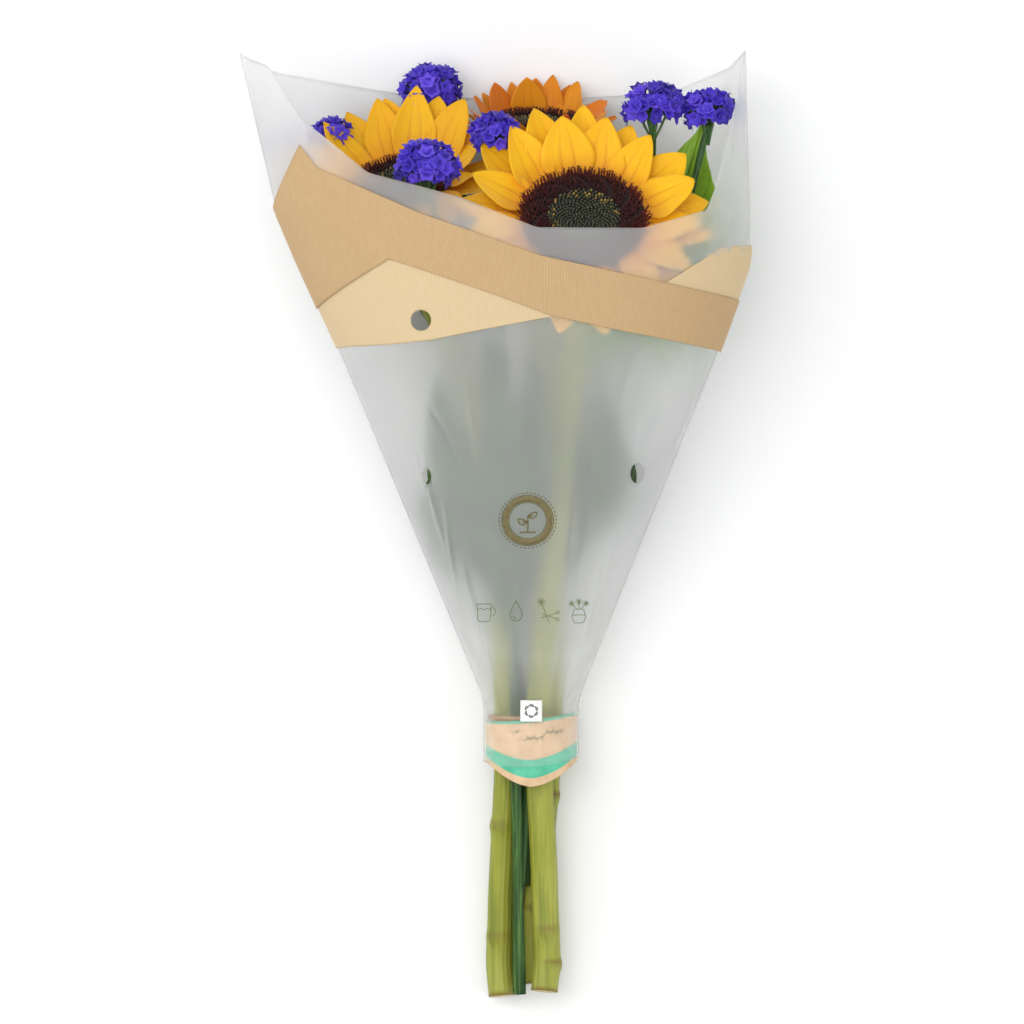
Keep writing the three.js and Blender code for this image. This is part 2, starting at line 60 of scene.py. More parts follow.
# ---- Camera, floor and light ----
# The bunch lies on its back on a pale studio floor. The camera stands over it and looks straight
# down, with the heads at the top of the view. Three soft panels and a pale sky light it.
MM = 0.001
low, high = (Vector(corner) for corner in cad_box)
view_width = 563.2 * MM
camera_height = 6.0
camera_offset = Vector((9.1, 7.2, 0)) * MM
camera_data = bpy.data.cameras.new("camera")
camera_data.sensor_width = 36
camera_data.lens = camera_data.sensor_width * (camera_height - high.z / 2) / view_width
camera_data.clip_end = 20
camera = bpy.data.objects.new("camera", camera_data)
camera.location = (low + high) / 2 + camera_offset
camera.location.z = camera_height
bpy.context.scene.collection.objects.link(camera)
bpy.context.scene.camera = camera


def soft_panel(name, place, size, power):
    """A square area lamp that faces the bunch."""
    lamp = bpy.data.lights.new(name, "AREA")
    lamp.size = size
    lamp.energy = power
    panel = bpy.data.objects.new(name, lamp)
    panel.location = place
    panel.rotation_euler = (-Vector(place)).to_track_quat("-Z", "Y").to_euler()
    bpy.context.scene.collection.objects.link(panel)


soft_panel("light_over", (-0.35, 0.25, 1.9), 1.4, 16)
soft_panel("light_left", (-1.6, 0.4, 1.0), 1.2, 9)
soft_panel("light_right", (1.5, -0.6, 1.2), 1.2, 7)
sky = bpy.data.worlds.new("studio")
sky.use_nodes = True
sky.node_tree.nodes["Background"].inputs["Color"].default_value = (0.97, 0.98, 1.0, 1)
sky.node_tree.nodes["Background"].inputs["Strength"].default_value = 0.68
bpy.context.scene.world = sky
# The plain transform shows the colours as they are set, with no tone curve over them.
bpy.context.scene.view_settings.view_transform = "Standard"


def linear(red, green, blue):
    """A shader colour from the 0 to 255 values that a colour card gives."""
    parts = [value / 255 for value in (red, green, blue)]
    return tuple(v / 12.92 if v <= 0.04045 else ((v + 0.055) / 1.055) ** 2.4 for v in parts) + (1,)


class Value:
    """A number that a shader works out: arithmetic on it adds Math nodes."""

    def __init__(self, tree, socket):
        self.tree = tree
        self.socket = socket

    def math(self, operation, other=None, swapped=False):
        node = self.tree.nodes.new("ShaderNodeMath")
        node.operation = operation
        sides = [self] if other is None else [self, other]
        if swapped:
            sides.reverse()
        for slot, side in zip(node.inputs, sides):
            if isinstance(side, Value):
                self.tree.links.new(side.socket, slot)
            else:
                slot.default_value = side
        return Value(self.tree, node.outputs[0])

    def __add__(self, other):
        return self.math("ADD", other)

    def __sub__(self, other):
        return self.math("SUBTRACT", other)

    def __rsub__(self, other):
        return self.math("SUBTRACT", other, swapped=True)

    def __mul__(self, other):
        return self.math("MULTIPLY", other)

    __radd__ = __add__
    __rmul__ = __mul__

    def sine(self):
        return self.math("SINE")

    def over(self, edge):
        return self.math("GREATER_THAN", edge)


class Nodes:
    """A node tree, with one method that adds any node to it."""

    def __init__(self, tree):
        self.tree = tree

    def node(self, kind, settings=None, inputs=None, output=0):
        """Any node by its type: settings first, a ramp's stops among them, then its sockets."""
        node = self.tree.nodes.new(kind)
        for key, value in (settings or {}).items():
            if key == "stops":
                stops = node.color_ramp.elements
                while len(stops) < len(value):
                    stops.new(0.5)
                for stop, (place, colour) in zip(stops, value):
                    stop.position = place
                    stop.color = colour
            else:
                setattr(node, key, value)
        for key, value in (inputs or {}).items():
            if isinstance(value, Value):
                self.tree.links.new(value.socket, node.inputs[key])
            else:
                node.inputs[key].default_value = value
        return Value(self.tree, node.outputs[output])


class Finish(Nodes):
    """A material: one Principled shader and the nodes that feed it."""

    def __init__(self, name, **settings):
        self.material = bpy.data.materials.new(name)
        self.material.use_nodes = True
        super().__init__(self.material.node_tree)
        self.shader = self.tree.nodes["Principled BSDF"]
        for socket, value in settings.items():
            self.shader.inputs[socket.replace("_", " ")].default_value = value

    def place(self):
        return self.node("ShaderNodeTexCoord", output=3)

    def across_and_along(self):
        uv = self.node("ShaderNodeUVMap", {"uv_map": "UVMap"})
        across = self.node("ShaderNodeSeparateXYZ", inputs={"Vector": uv})
        return across, Value(self.tree, across.socket.node.outputs[1])

    def attribute(self, name):
        return self.node("ShaderNodeAttribute", {"attribute_name": name}, output=2)

    def noise(self, scale, detail=3.0, stretch=(1, 1, 1), place=None):
        inputs = {"Vector": place or self.place(), "Scale": stretch}
        spot = self.node("ShaderNodeMapping", inputs=inputs)
        return self.node("ShaderNodeTexNoise", inputs={"Vector": spot, "Scale": scale, "Detail": detail})

    def ramp(self, value, *stops):
        return self.node("ShaderNodeValToRGB", {"stops": stops}, {"Fac": value})

    def blend(self, share, first, second):
        mix = self.tree.nodes.new("ShaderNodeMix")
        mix.data_type = "RGBA"
        for key, value in (("Factor_Float", share), ("A_Color", first), ("B_Color", second)):
            slot = next(s for s in mix.inputs if s.identifier == key)
            if isinstance(value, Value):
                self.tree.links.new(value.socket, slot)
            else:
                slot.default_value = value
        return Value(self.tree, next(s for s in mix.outputs if s.identifier == "Result_Color"))

    def feed(self, socket, value):
        self.tree.links.new(value.socket, self.shader.inputs[socket])

    def bump(self, height, strength, distance):
        inputs = {"Height": height, "Strength": strength, "Distance": distance}
        self.feed("Normal", self.node("ShaderNodeBump", inputs=inputs))


floor_size = 6.0
floor_mesh = bpy.data.meshes.new("floor")
half = floor_size / 2
floor_mesh.from_pydata(
    [(-half, -half, 0), (half, -half, 0), (half, half, 0), (-half, half, 0)], [], [(0, 1, 2, 3)]
)
floor = bpy.data.objects.new("floor", floor_mesh)
floor.location.z = -0.2 * MM
bpy.context.scene.collection.objects.link(floor)
floor_finish = Finish("pale_floor", Roughness=0.8)
floor_shade = floor_finish.noise(2.0, 2.0)
floor_finish.feed(
    "Base Color",
    floor_finish.ramp(floor_shade, (0.3, linear(247, 247, 247)), (0.7, linear(251, 251, 250))),
)
floor_mesh.materials.append(floor_finish.material)

# ---- Sunflower stems ----
# Stout green stems with fine ridges and hairs, cut square at the lower end. Side shoots were
# stripped off, so each stem has brown scars and slight swellings where they grew.


def settle(piece, slot, *nodes):
    """Joins a finished piece to the frame: it rides with the bunch and stands for its CAD nodes."""
    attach(piece, "root")
    if nodes:
        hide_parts(*nodes)


def new_piece(name, points, faces, material, uvs=None, tones=None, smooth=True):
    mesh = bpy.data.meshes.new(name)
    mesh.from_pydata([tuple(point) for point in points], [], faces)
    if uvs is not None:
        layer = mesh.uv_layers.new(name="UVMap")
        loops = np.empty(len(mesh.loops), dtype=np.int32)
        mesh.loops.foreach_get("vertex_index", loops)
        layer.data.foreach_set("uv", np.asarray(uvs, dtype=np.float32)[loops].ravel())
    if tones is not None:
        mesh.attributes.new("tone", "FLOAT", "POINT").data.foreach_set("value", np.asarray(tones, "f"))
    mesh.materials.append(material)
    mesh.polygons.foreach_set("use_smooth", [smooth] * len(mesh.polygons))
    mesh.update()
    piece = bpy.data.objects.new(name, mesh)
    bpy.context.scene.collection.objects.link(piece)
    return piece


def corners(node):
    """The different corners of a CAD node's solid."""
    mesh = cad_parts[node].data
    spots = np.empty(len(mesh.vertices) * 3)
    mesh.vertices.foreach_get("co", spots)
    return np.unique(spots.reshape(-1, 3).round(6), axis=0)


def slice_at(node, y):
    """Where the edges of a CAD node cross the plane at y."""
    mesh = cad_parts[node].data
    found = []
    for edge in mesh.edges:
        a, b = (mesh.vertices[k].co for k in edge.vertices)
        if (a.y - y) * (b.y - y) < 0:
            found.append(a.lerp(b, (y - a.y) / (b.y - a.y)))
    return found


def midline(node, start, end, steps):
    """The middle of a long node, from slices across it."""
    spots = []
    for k in range(steps + 1):
        cut = slice_at(node, start + (end - start) * k / steps)
        if cut:
            spots.append(sum(cut, Vector()) / len(cut))
    return spots


def smooth_path(points, steps):
    """Even steps along a Catmull-Rom curve through the points."""
    ends = [2 * points[0] - points[1], *points, 2 * points[-1] - points[-2]]
    fine = []
    for k in range(len(points) - 1):
        a, b, c, d = ends[k : k + 4]
        for part in (i / 8 for i in range(8)):
            fine.append(
                0.5 * (2 * b + (c - a) * part + (2 * a - 5 * b + 4 * c - d) * part**2
                       + (3 * b - a - 3 * c + d) * part**3)
            )
    fine.append(points[-1].copy())
    lengths = np.cumsum([0] + [(b - a).length for a, b in zip(fine, fine[1:])])
    wanted = np.linspace(0, lengths[-1], steps + 1)
    return [Vector([np.interp(w, lengths, [p[axis] for p in fine]) for axis in range(3)]) for w in wanted]


def stem_shell(path, radius_at, sides):
    """Rings round a path, closed by a slightly domed face at each end, with its UVs."""
    points, uvs, faces = [], [], []
    rings = len(path)
    side = Vector((1, 0, 0))
    for k, spot in enumerate(path):
        ahead = (path[min(k + 1, rings - 1)] - path[max(k - 1, 0)]).normalized()
        side = (side - side.dot(ahead) * ahead).normalized()
        other = ahead.cross(side)
        for j in range(sides):
            turn = 2 * math.pi * j / sides
            reach = radius_at(k / (rings - 1), turn)
            points.append(spot + reach * (math.cos(turn) * side + math.sin(turn) * other))
            uvs.append((j / sides, k / (rings - 1)))
    for k in range(rings - 1):
        for j in range(sides):
            a, b = k * sides + j, k * sides + (j + 1) % sides
            faces.append((a, b, b + sides, a + sides))
    for ring, turned in ((0, True), (rings - 1, False)):
        around = [ring * sides + j for j in range(sides)]
        middle = sum((points[k] for k in around), Vector()) / sides
        points.append(middle)
        uvs.append((0.5, -1.0 if turned else 2.0))
        for j in range(sides):
            a, b = around[j], around[(j + 1) % sides]
            faces.append((b, a, len(points) - 1) if turned else (a, b, len(points) - 1))
    return points, faces, uvs


def stem_finish():
    finish = Finish("sunflower_stem_skin", Roughness=0.5, Specular_IOR_Level=0.4)
    around, along = finish.across_and_along()
    ridges = (around * (2 * math.pi * 17)).sine()
    streaks = finish.noise(240, 4, (1, 0.05, 1))
    patches = finish.noise(24, 3, (1, 0.4, 1))
    skin = finish.ramp(
        patches, (0.3, linear(112, 126, 34)), (0.5, linear(146, 150, 46)), (0.72, linear(172, 172, 76))
    )
    dim = finish.ramp(streaks, (0.48, (0, 0, 0, 1)), (0.7, (0.55, 0.55, 0.55, 1)))
    skin = finish.blend(dim, skin, linear(84, 106, 28))
    near_cut = finish.ramp(along, (0.0, (0.8, 0.8, 0.8, 1)), (0.006, (0, 0, 0, 1)))
    skin = finish.blend(near_cut, skin, linear(120, 84, 40))
    pith = (along * -1).over(0.02)
    skin = finish.blend(pith, skin, linear(196, 178, 120))
    scar = finish.attribute("tone")
    skin = finish.blend(scar, skin, linear(104, 60, 24))
    finish.feed("Base Color", skin)
    finish.feed("Roughness", streaks * 0.3 + 0.34)
    finish.bump(ridges * 0.4 + streaks, 0.5, 0.0004)
    return finish.material


def head_frame(number):
    """A head's own frame from its ring of florets: out of the face is +Z, the upper petals +Y."""
    ring = corners(f"sunflower_{number}_floret_ring")
    middle = Vector((ring.max(0) + ring.min(0)) / 2)
    normal = Vector(np.linalg.svd(ring - ring.mean(0))[2][2])
    if normal.y < 0:
        normal = -normal
    right = Vector((0, normal.z, -normal.y)).cross(normal).normalized()
    up = normal.cross(right)
    spans = (ring - np.array(middle)) @ np.array(normal)
    seat = middle + normal * spans.min()
    turned = Matrix((right, up, normal)).transposed().to_4x4()
    radius = np.linalg.norm(np.cross(ring - np.array(middle), np.array(normal)), axis=1).max()
    return Matrix.Translation(seat) @ turned, float(radius)


DISC_SHARE = 0.51  # the disc's radius over the petals' reach
CUP_DEPTH = 0.36  # from the petals down to the stem, over the same reach
STEM_RADIUS = 7.35 * MM
stem_material = stem_finish()
heads = {}
# Where side shoots grew: share of the stem's length, place round it in radians, and swelling.
stem_knots = {
    1: [(0.036, 5.7, 0.2), (0.082, 4.9, 0.14)],
    2: [(0.075, 4.3, 0.12), (0.215, 4.0, 0.2)],
    3: [(0.09, 4.7, 0.16), (0.23, 5.6, 0.2)],
}
for number in (1, 2, 3):
    node = f"sunflower_{number}_stem"
    heads[number] = head_frame(number)
    seat, disc_radius = heads[number]
    foot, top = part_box(node)
    path = midline(node, foot.y + 0.5 * MM, top.y - 22 * MM, 22)
    path[0].y = foot.y
    neck = seat @ Vector((0, 0, -CUP_DEPTH * disc_radius / DISC_SHARE - 6 * MM))
    path.append(path[-1].lerp(neck, 0.6))
    path.append(neck + (neck - path[-1]) * 0.25)
    spine = smooth_path(path, 150)
    knots = stem_knots[number]

    def radius_at(part, turn, knots=knots):
        reach = STEM_RADIUS * (1 + 0.018 * math.cos(17 * turn) + 0.012 * math.sin(3 * turn + 9 * part))
        for place, facing, swelling in knots:
            near = math.exp(-(((part - place) / 0.008) ** 2))
            reach += STEM_RADIUS * swelling * near * max(0.15, math.cos(turn - facing))
        return reach

    points, faces, uvs = stem_shell(spine, radius_at, 40)
    tones = []
    for across, along in uvs:
        scar = 0.0
        for place, facing, swelling in knots:
            off = math.remainder(2 * math.pi * across - facing, 2 * math.pi)
            scar += 0.9 * math.exp(-(((along - place - 0.002) / 0.003) ** 2) - (off / 1.1) ** 2)
        tones.append(min(scar, 1))
    stem = new_piece(f"stem_of_sunflower_{number}", points, faces, stem_material, uvs, tones)
    settle(stem, "sunflower_stem", node)

# ---- Backs of the heads ----
# Behind each disc the stem widens into a green receptacle. Two rows of pointed, hairy bracts grow
# from its rim and bend back behind the petals.

# How far each head's petals rise, in degrees: in the mean, more above and less below, and how much
# less at the sides.
HEAD_CUPS = {1: (-4, 40, 0), 2: (8, 38, 0), 3: (70, 6, 36)}
PETAL_ROOT_DEPTH = 5.1 * MM  # from the florets' seat down to the petals' roots
BEND_SHARE = 0.3


def head_plane(number):
    """The head's frame at the petals' roots, which lie a little under the florets' seat."""
    seat, disc_radius = heads[number]
    return seat @ Matrix.Translation((0, 0, -PETAL_ROOT_DEPTH)), disc_radius / DISC_SHARE


def blade_points(turn, root, tip, width, level, lift, look, rows=18, columns=13):
    """A petal or bract: a grid of points along it and across it, in its head's frame.

    lift is its slope in degrees, fully reached BEND_SHARE of the way along it. look holds its
    curl, camber, groove depth, wave and phase, twist, the share where it is widest, the sharpness
    of its tip and its sway to the side.
    """
    along = np.linspace(0, 1, rows)[:, None]
    across = np.linspace(-1, 1, columns)[None, :]
    length = tip - root
    bent = np.clip(along / BEND_SHARE, 0, 1)
    slope = np.radians(lift * bent**1.3 + look["curl"] * along**2)
    step = length / (rows - 1)
    reach = root + np.concatenate([[0], np.cumsum(np.cos(slope[:-1, 0]) * step)])[:, None]
    height = level + np.concatenate([[0], np.cumsum(np.sin(slope[:-1, 0]) * step)])[:, None]
    widest = look["widest"]
    opening = np.sin(np.clip(along / widest, 0, 1) * math.pi / 2)
    closing = np.clip((along - widest) / (1 - widest), 0, 1)
    half = width / 2 * (0.36 + 0.64 * opening) * (1 - closing ** look["sharp"] * 0.985) ** 0.8
    swing = look["twist"] * along**1.5
    aside = half * across * np.cos(swing)
    grooves = sum(
        np.exp(-(((across - place) / 0.13) ** 2)) * depth
        for place, depth in ((-0.62, 0.5), (-0.25, 1.0), (0.24, 1.0), (0.6, 0.5))
    )
    raised = (
        half * across * np.sin(swing)
        + half * look["camber"] * across**2
        - look["groove"] * grooves * np.sin(np.clip(along * 1.08, 0, 1) * math.pi) ** 0.5
        + look["wave"] * np.sin(along * 9 + look["phase"]) * across**2 * np.sign(across + 0.01)
    )
    sag = look["side"] * along**2 * length
    outward = reach - raised * np.sin(slope)
    upward = height + raised * np.cos(slope)
    sine, cosine = math.sin(turn), math.cos(turn)
    sideways = aside + sag
    return np.stack(
        [outward * sine + sideways * cosine, outward * cosine - sideways * sine, upward + 0 * across],
        axis=-1,
    )


def grid_faces(rows, columns, start=0, wrapped=False):
    steps = columns if wrapped else columns - 1
    row, column = np.mgrid[0 : rows - 1, 0:steps]
    a = start + row * columns + column
    b = start + row * columns + (column + 1) % columns
    return np.stack([a, b, b + columns, a + columns], axis=-1).reshape(-1, 4)


def thickened(points, faces, thickness):
    """A sheet given a thickness: both sides and the walls round its open edges, closed."""
    edge_a = points[faces[:, 2]] - points[faces[:, 0]]
    edge_b = points[faces[:, 3]] - points[faces[:, 1]]
    face_normals = np.cross(edge_a, edge_b)
    normals = np.zeros_like(points)
    for corner in range(4):
        np.add.at(normals, faces[:, corner], face_normals)
    normals /= np.maximum(np.linalg.norm(normals, axis=1, keepdims=True), 1e-12)
    half = (thickness if np.isscalar(thickness) else thickness[:, None]) / 2
    count = len(points)
    edges = np.concatenate([faces[:, [k, (k + 1) % 4]] for k in range(4)])
    there = set(map(tuple, edges.tolist()))
    rim = np.array([e for e in there if (e[1], e[0]) not in there])
    walls = np.stack([rim[:, 1], rim[:, 0], rim[:, 0] + count, rim[:, 1] + count], axis=-1)
    both = np.concatenate([points + normals * half, points - normals * half])
    return both, np.concatenate([faces, faces[:, ::-1] + count, walls])


class Pile:
    """Collects closed shells with their UVs and tones, to join them in one mesh."""

    def __init__(self):
        self.points, self.faces, self.uvs, self.tones = [], [], [], []
        self.count = 0

    def add(self, points, faces, uvs, tone=0.0):
        self.points.append(np.asarray(points, dtype=float).reshape(-1, 3))
        faces = faces.tolist() if isinstance(faces, np.ndarray) else faces
        self.faces += [[k + self.count for k in face] for face in faces]
        self.uvs.append(np.asarray(uvs, dtype=float).reshape(-1, 2))
        self.tones.append(np.full(len(self.points[-1]), tone))
        self.count += len(self.points[-1])

    def piece(self, name, material, place=None):
        points = np.concatenate(self.points)
        if place is not None:
            turn = np.array(place.to_3x3())
            points = points @ turn.T + np.array(place.translation)
        return new_piece(
            name, points, self.faces, material, np.concatenate(self.uvs), np.concatenate(self.tones)
        )


def grid_uvs(rows, columns):
    v, u = np.mgrid[0:rows, 0:columns]
    return np.stack([u / (columns - 1), v / (rows - 1)], axis=-1).reshape(-1, 2)


def add_sheet(pile, points, faces, shape, thickness, tone=0.0):
    """Adds a closed sheet from points in rows and columns, which shape counts, and its faces."""
    points, faces = thickened(points.reshape(-1, 3), faces, thickness)
    pile.add(points, faces, np.tile(grid_uvs(*shape), (2, 1)), tone)


def sheet_piece(name, points, faces, shape, thickness, material, tone=0.0):
    pile = Pile()
    add_sheet(pile, points, faces, shape, thickness, tone)
    return pile.piece(name, material)


def add_blade(pile, grid, thickness, tone):
    shape = grid.shape[:2]
    add_sheet(pile, grid, grid_faces(*shape)[:, ::-1], shape, thickness, tone)


def turned_shell(pile, profile, segments, tone=0.0):
    """A closed shell of revolution from (radius, height) points that start and end on the axis."""
    inner = [point for point in profile if point[0] > 0]
    rows = len(inner)
    angles = np.linspace(0, 2 * math.pi, segments, endpoint=False)
    points = [
        (radius * math.cos(a), radius * math.sin(a), height) for radius, height in inner for a in angles
    ]
    points += [(0, 0, profile[0][1]), (0, 0, profile[-1][1])]
    uvs = [(k % segments / segments, k // segments / rows) for k in range(rows * segments)]
    uvs += [(0, 0), (0, 1)]
    start = pile.count
    pile.add(points, grid_faces(rows, segments, wrapped=True), uvs, tone)
    low_tip, high_tip = start + rows * segments, start + rows * segments + 1
    last = start + (rows - 1) * segments
    for k in range(segments):
        after = (k + 1) % segments
        pile.faces.append([low_tip, start + after, start + k])
        pile.faces.append([high_tip, last + k, last + after])


def calyx_finish():
    finish = Finish("calyx_green", Roughness=0.62)
    _, along = finish.across_and_along()
    mottle = finish.noise(90, 4)
    green = finish.ramp(
        mottle, (0.3, linear(58, 92, 34)), (0.55, linear(84, 122, 46)), (0.8, linear(118, 148, 66))
    )
    finish.feed("Base Color", finish.blend(along * 0.35, green, linear(132, 158, 74)))
    finish.feed("Roughness", mottle * 0.25 + 0.5)
    finish.bump(finish.noise(900, 2), 0.3, 0.0003)
    return finish.material


BRACTS = 15  # in each of the two rows
calyx_material = calyx_finish()
chance = random.Random(11)
for number, (mean, swing, sides) in HEAD_CUPS.items():
    plane, tip = head_plane(number)
    pile = Pile()
    profile = [(0, -CUP_DEPTH * tip), (8.2 * MM, -CUP_DEPTH * tip)]
    profile += [(0.2 * tip, -0.29 * tip), (0.32 * tip, -0.2 * tip)]
    profile += [(0.43 * tip, -0.115 * tip), (0.49 * tip, -0.06 * tip), (0.485 * tip, -0.02 * tip)]
    profile += [(0.38 * tip, 0.0), (0.38 * tip, 3.2 * MM), (0, 3.2 * MM)]
    turned_shell(pile, profile, 48)
    for row in (0, 1):
        for k in range(BRACTS):
            turn = 2 * math.pi * (k + 0.5 * row + chance.uniform(-0.15, 0.15)) / BRACTS
            cup = mean - 24 - 6 * row + swing * math.cos(turn) - sides * math.sin(turn) ** 2
            look = {
                "curl": chance.uniform(-28, -4),
                "camber": 0.25,
                "groove": 0.15 * MM,
                "wave": 0.3 * MM,
                "phase": chance.uniform(0, 6),
                "twist": chance.uniform(-0.2, 0.2),
                "widest": 0.3,
                "sharp": 1.1,
                "side": chance.uniform(-0.04, 0.04),
            }
            grid = blade_points(turn, (0.46 - 0.03 * row) * tip, (0.72 - 0.06 * row) * tip, 0.19 * tip,
                                (-2.6 - 1.5 * row) * MM, cup, look, 12, 7)
            add_blade(pile, grid, 0.5 * MM, chance.random())
    calyx = pile.piece(f"calyx_of_sunflower_{number}", calyx_material, plane)
    settle(calyx, "green_calyx", f"sunflower_{number}_calyx")

# ---- Petals ----
# Each head has an outer and an inner row of ray petals. They are thin, soft yellow blades with
# long grooves, an orange flush at the root and a pointed tip, and no two are quite alike.


def petal_finish():
    finish = Finish("petal_yellow", Roughness=0.5, Specular_IOR_Level=0.3, Sheen_Weight=0.12)
    across, along = finish.across_and_along()
    streaks = finish.node(
        "ShaderNodeTexNoise",
        inputs={
            "Vector": finish.node(
                "ShaderNodeCombineXYZ",
                inputs={"X": across * 16, "Y": along * 1.3, "Z": finish.attribute("tone") * 40},
            ),
            "Scale": 1.0,
            "Detail": 4.0,
        },
    )
    yellow = finish.blend(streaks, linear(244, 172, 2), linear(252, 204, 10))
    flush = finish.ramp(along, (0.0, (1, 1, 1, 1)), (0.16, (0.6, 0.6, 0.6, 1)), (0.5, (0, 0, 0, 1)))
    yellow = finish.blend(flush * streaks * 1.5, yellow, linear(226, 104, 0))
    # Deep orange by the tone: random in the first two heads, painted shade over all the third head's
    # petals.
    depth = finish.attribute("tone")
    yellow = finish.blend(depth, yellow, linear(216, 98, 2))
    # Painted shade along the two main grooves, darkest towards the root.
    groove_a = (across * 2 - 1 - 0.24).math("ABSOLUTE")
    groove_b = (across * 2 - 1 + 0.25).math("ABSOLUTE")
    near = finish.ramp(groove_a.math("MINIMUM", groove_b), (0.0, (1, 1, 1, 1)), (0.09, (0, 0, 0, 1)))
    yellow = finish.blend(near * (1 - along) * 0.6, yellow, linear(200, 92, 0))
    finish.feed("Base Color", yellow)
    finish.feed("Roughness", streaks * 0.2 + 0.42)
    fine = (across * 150).sine() * 0.4 + streaks
    finish.bump(fine, 0.35, 0.0003)
    return finish.material


PETAL_THICKNESS = 0.42 * MM
PETAL_EDGE = 0.22 * MM
petal_material = petal_finish()
petal_rows = {1: (15, 14), 2: (14, 13), 3: (14, 13)}
# How far the petals reach over the head's radius: all round, and how much more at the top.
petal_reach = {1: (1.02, 0.12), 2: (0.98, 0.46), 3: (0.92, 0.18)}
# The least and the most deep orange in each head's petals: a little tone that differs at random in the
# first two heads, and painted shade on the third head's petals.
petal_tone_and_painted_shade = {1: (0.0, 0.1), 2: (0.0, 0.16), 3: (0.5, 0.95)}
for number, (mean, swing, sides) in HEAD_CUPS.items():
    plane, tip = head_plane(number)
    disc = DISC_SHARE * tip
    for row, name in enumerate(("outer", "inner")):
        count = petal_rows[number][row]
        pile = Pile()
        for k in range(count):
            turn = 2 * math.pi * (k + 0.5 * row + chance.uniform(-0.16, 0.16)) / count
            cup = mean + 8 * row + swing * math.cos(turn) - sides * math.sin(turn) ** 2
            cup += chance.uniform(-5, 5)
            plain, upper = petal_reach[number]
            longer = plain + upper * max(0, math.cos(turn)) ** 0.7
            reach = tip * (longer - 0.06 * row) * chance.uniform(0.92, 1.03)
            wide = 0.355 * longer * tip * chance.uniform(0.82, 1.12)
            look = {
                "curl": chance.uniform(-16, 10),
                "camber": chance.uniform(0.04, 0.3),
                "groove": chance.uniform(0.5, 0.9) * MM,
                "wave": chance.uniform(0.1, 0.9) * MM,
                "phase": chance.uniform(0, 6),
                "twist": chance.uniform(-0.32, 0.32),
                "widest": chance.uniform(0.36, 0.5),
                "sharp": chance.uniform(1.15, 1.6),
                "side": chance.uniform(-0.07, 0.07),
            }
            level = (0.9 + 3.0 * row + (k % 3) * 0.55) * MM
            grid = blade_points(turn, disc * (0.93 - 0.05 * row), reach, wide, level, cup, look)
            thin = np.full(grid.shape[:2], PETAL_THICKNESS)
            thin[:, [0, -1]] = PETAL_EDGE
            add_blade(pile, grid, thin.ravel(), chance.uniform(*petal_tone_and_painted_shade[number]))
        petals = pile.piece(f"{name}_petals_of_sunflower_{number}", petal_material, plane)
        settle(petals, "petal", f"sunflower_{number}_{name}_petals")

# ---- Disc florets ----
# Hundreds of tiny flowers fill each disc in crossing spirals. The open ones in the ring are dark
# red tubes with curled tips. The buds in the middle are still green, edged with golden pollen.


def scatter_tree():
    """Sets a small piece on every point, turned to face along it and spun by chance."""
    tree = bpy.data.node_groups.new("pieces_on_points", "GeometryNodeTree")
    for name, kind in (("Points", "Geometry"), ("Piece", "Object"), ("Size", "Float"),
                       ("Seed", "Int"), ("Finish", "Material")):
        tree.interface.new_socket(name, in_out="INPUT", socket_type="NodeSocket" + kind)
    tree.interface.new_socket("Pieces", in_out="OUTPUT", socket_type="NodeSocketGeometry")
    nodes = Nodes(tree)
    given = tree.nodes.new("NodeGroupInput")
    socket = {out.name: Value(tree, out) for out in given.outputs if out.name}
    stored = "GeometryNodeInputNamedAttribute"
    facing = nodes.node(stored, {"data_type": "FLOAT_VECTOR"}, {"Name": "facing"})
    size = nodes.node(stored, {"data_type": "FLOAT"}, {"Name": "size"})
    turned = nodes.node("FunctionNodeAlignRotationToVector", {"axis": "Z"}, {"Vector": facing})
    inputs = {2: 0.0, 3: 2 * math.pi, "Seed": socket["Seed"]}
    spin = nodes.node("FunctionNodeRandomValue", {"data_type": "FLOAT"}, inputs, 1)
    about = nodes.node("ShaderNodeCombineXYZ", inputs={"Z": spin})
    about = nodes.node("FunctionNodeEulerToRotation", inputs={"Euler": about})
    inputs = {"Rotation": turned, "Rotate By": about}
    turned = nodes.node("FunctionNodeRotateRotation", {"rotation_space": "LOCAL"}, inputs)
    piece = nodes.node("GeometryNodeObjectInfo", inputs={"Object": socket["Piece"]}, output="Geometry")
    size = size * socket["Size"]
    inputs = {"Points": socket["Points"], "Instance": piece, "Rotation": turned, "Scale": size}
    placed = nodes.node("GeometryNodeInstanceOnPoints", inputs=inputs)
    joined = nodes.node("GeometryNodeRealizeInstances", inputs={"Geometry": placed})
    inputs = {"Geometry": joined, "Material": socket["Finish"]}
    done = nodes.node("GeometryNodeSetMaterial", inputs=inputs)
    tree.links.new(done.socket, tree.nodes.new("NodeGroupOutput").inputs[0])
    return tree


scatter = scatter_tree()


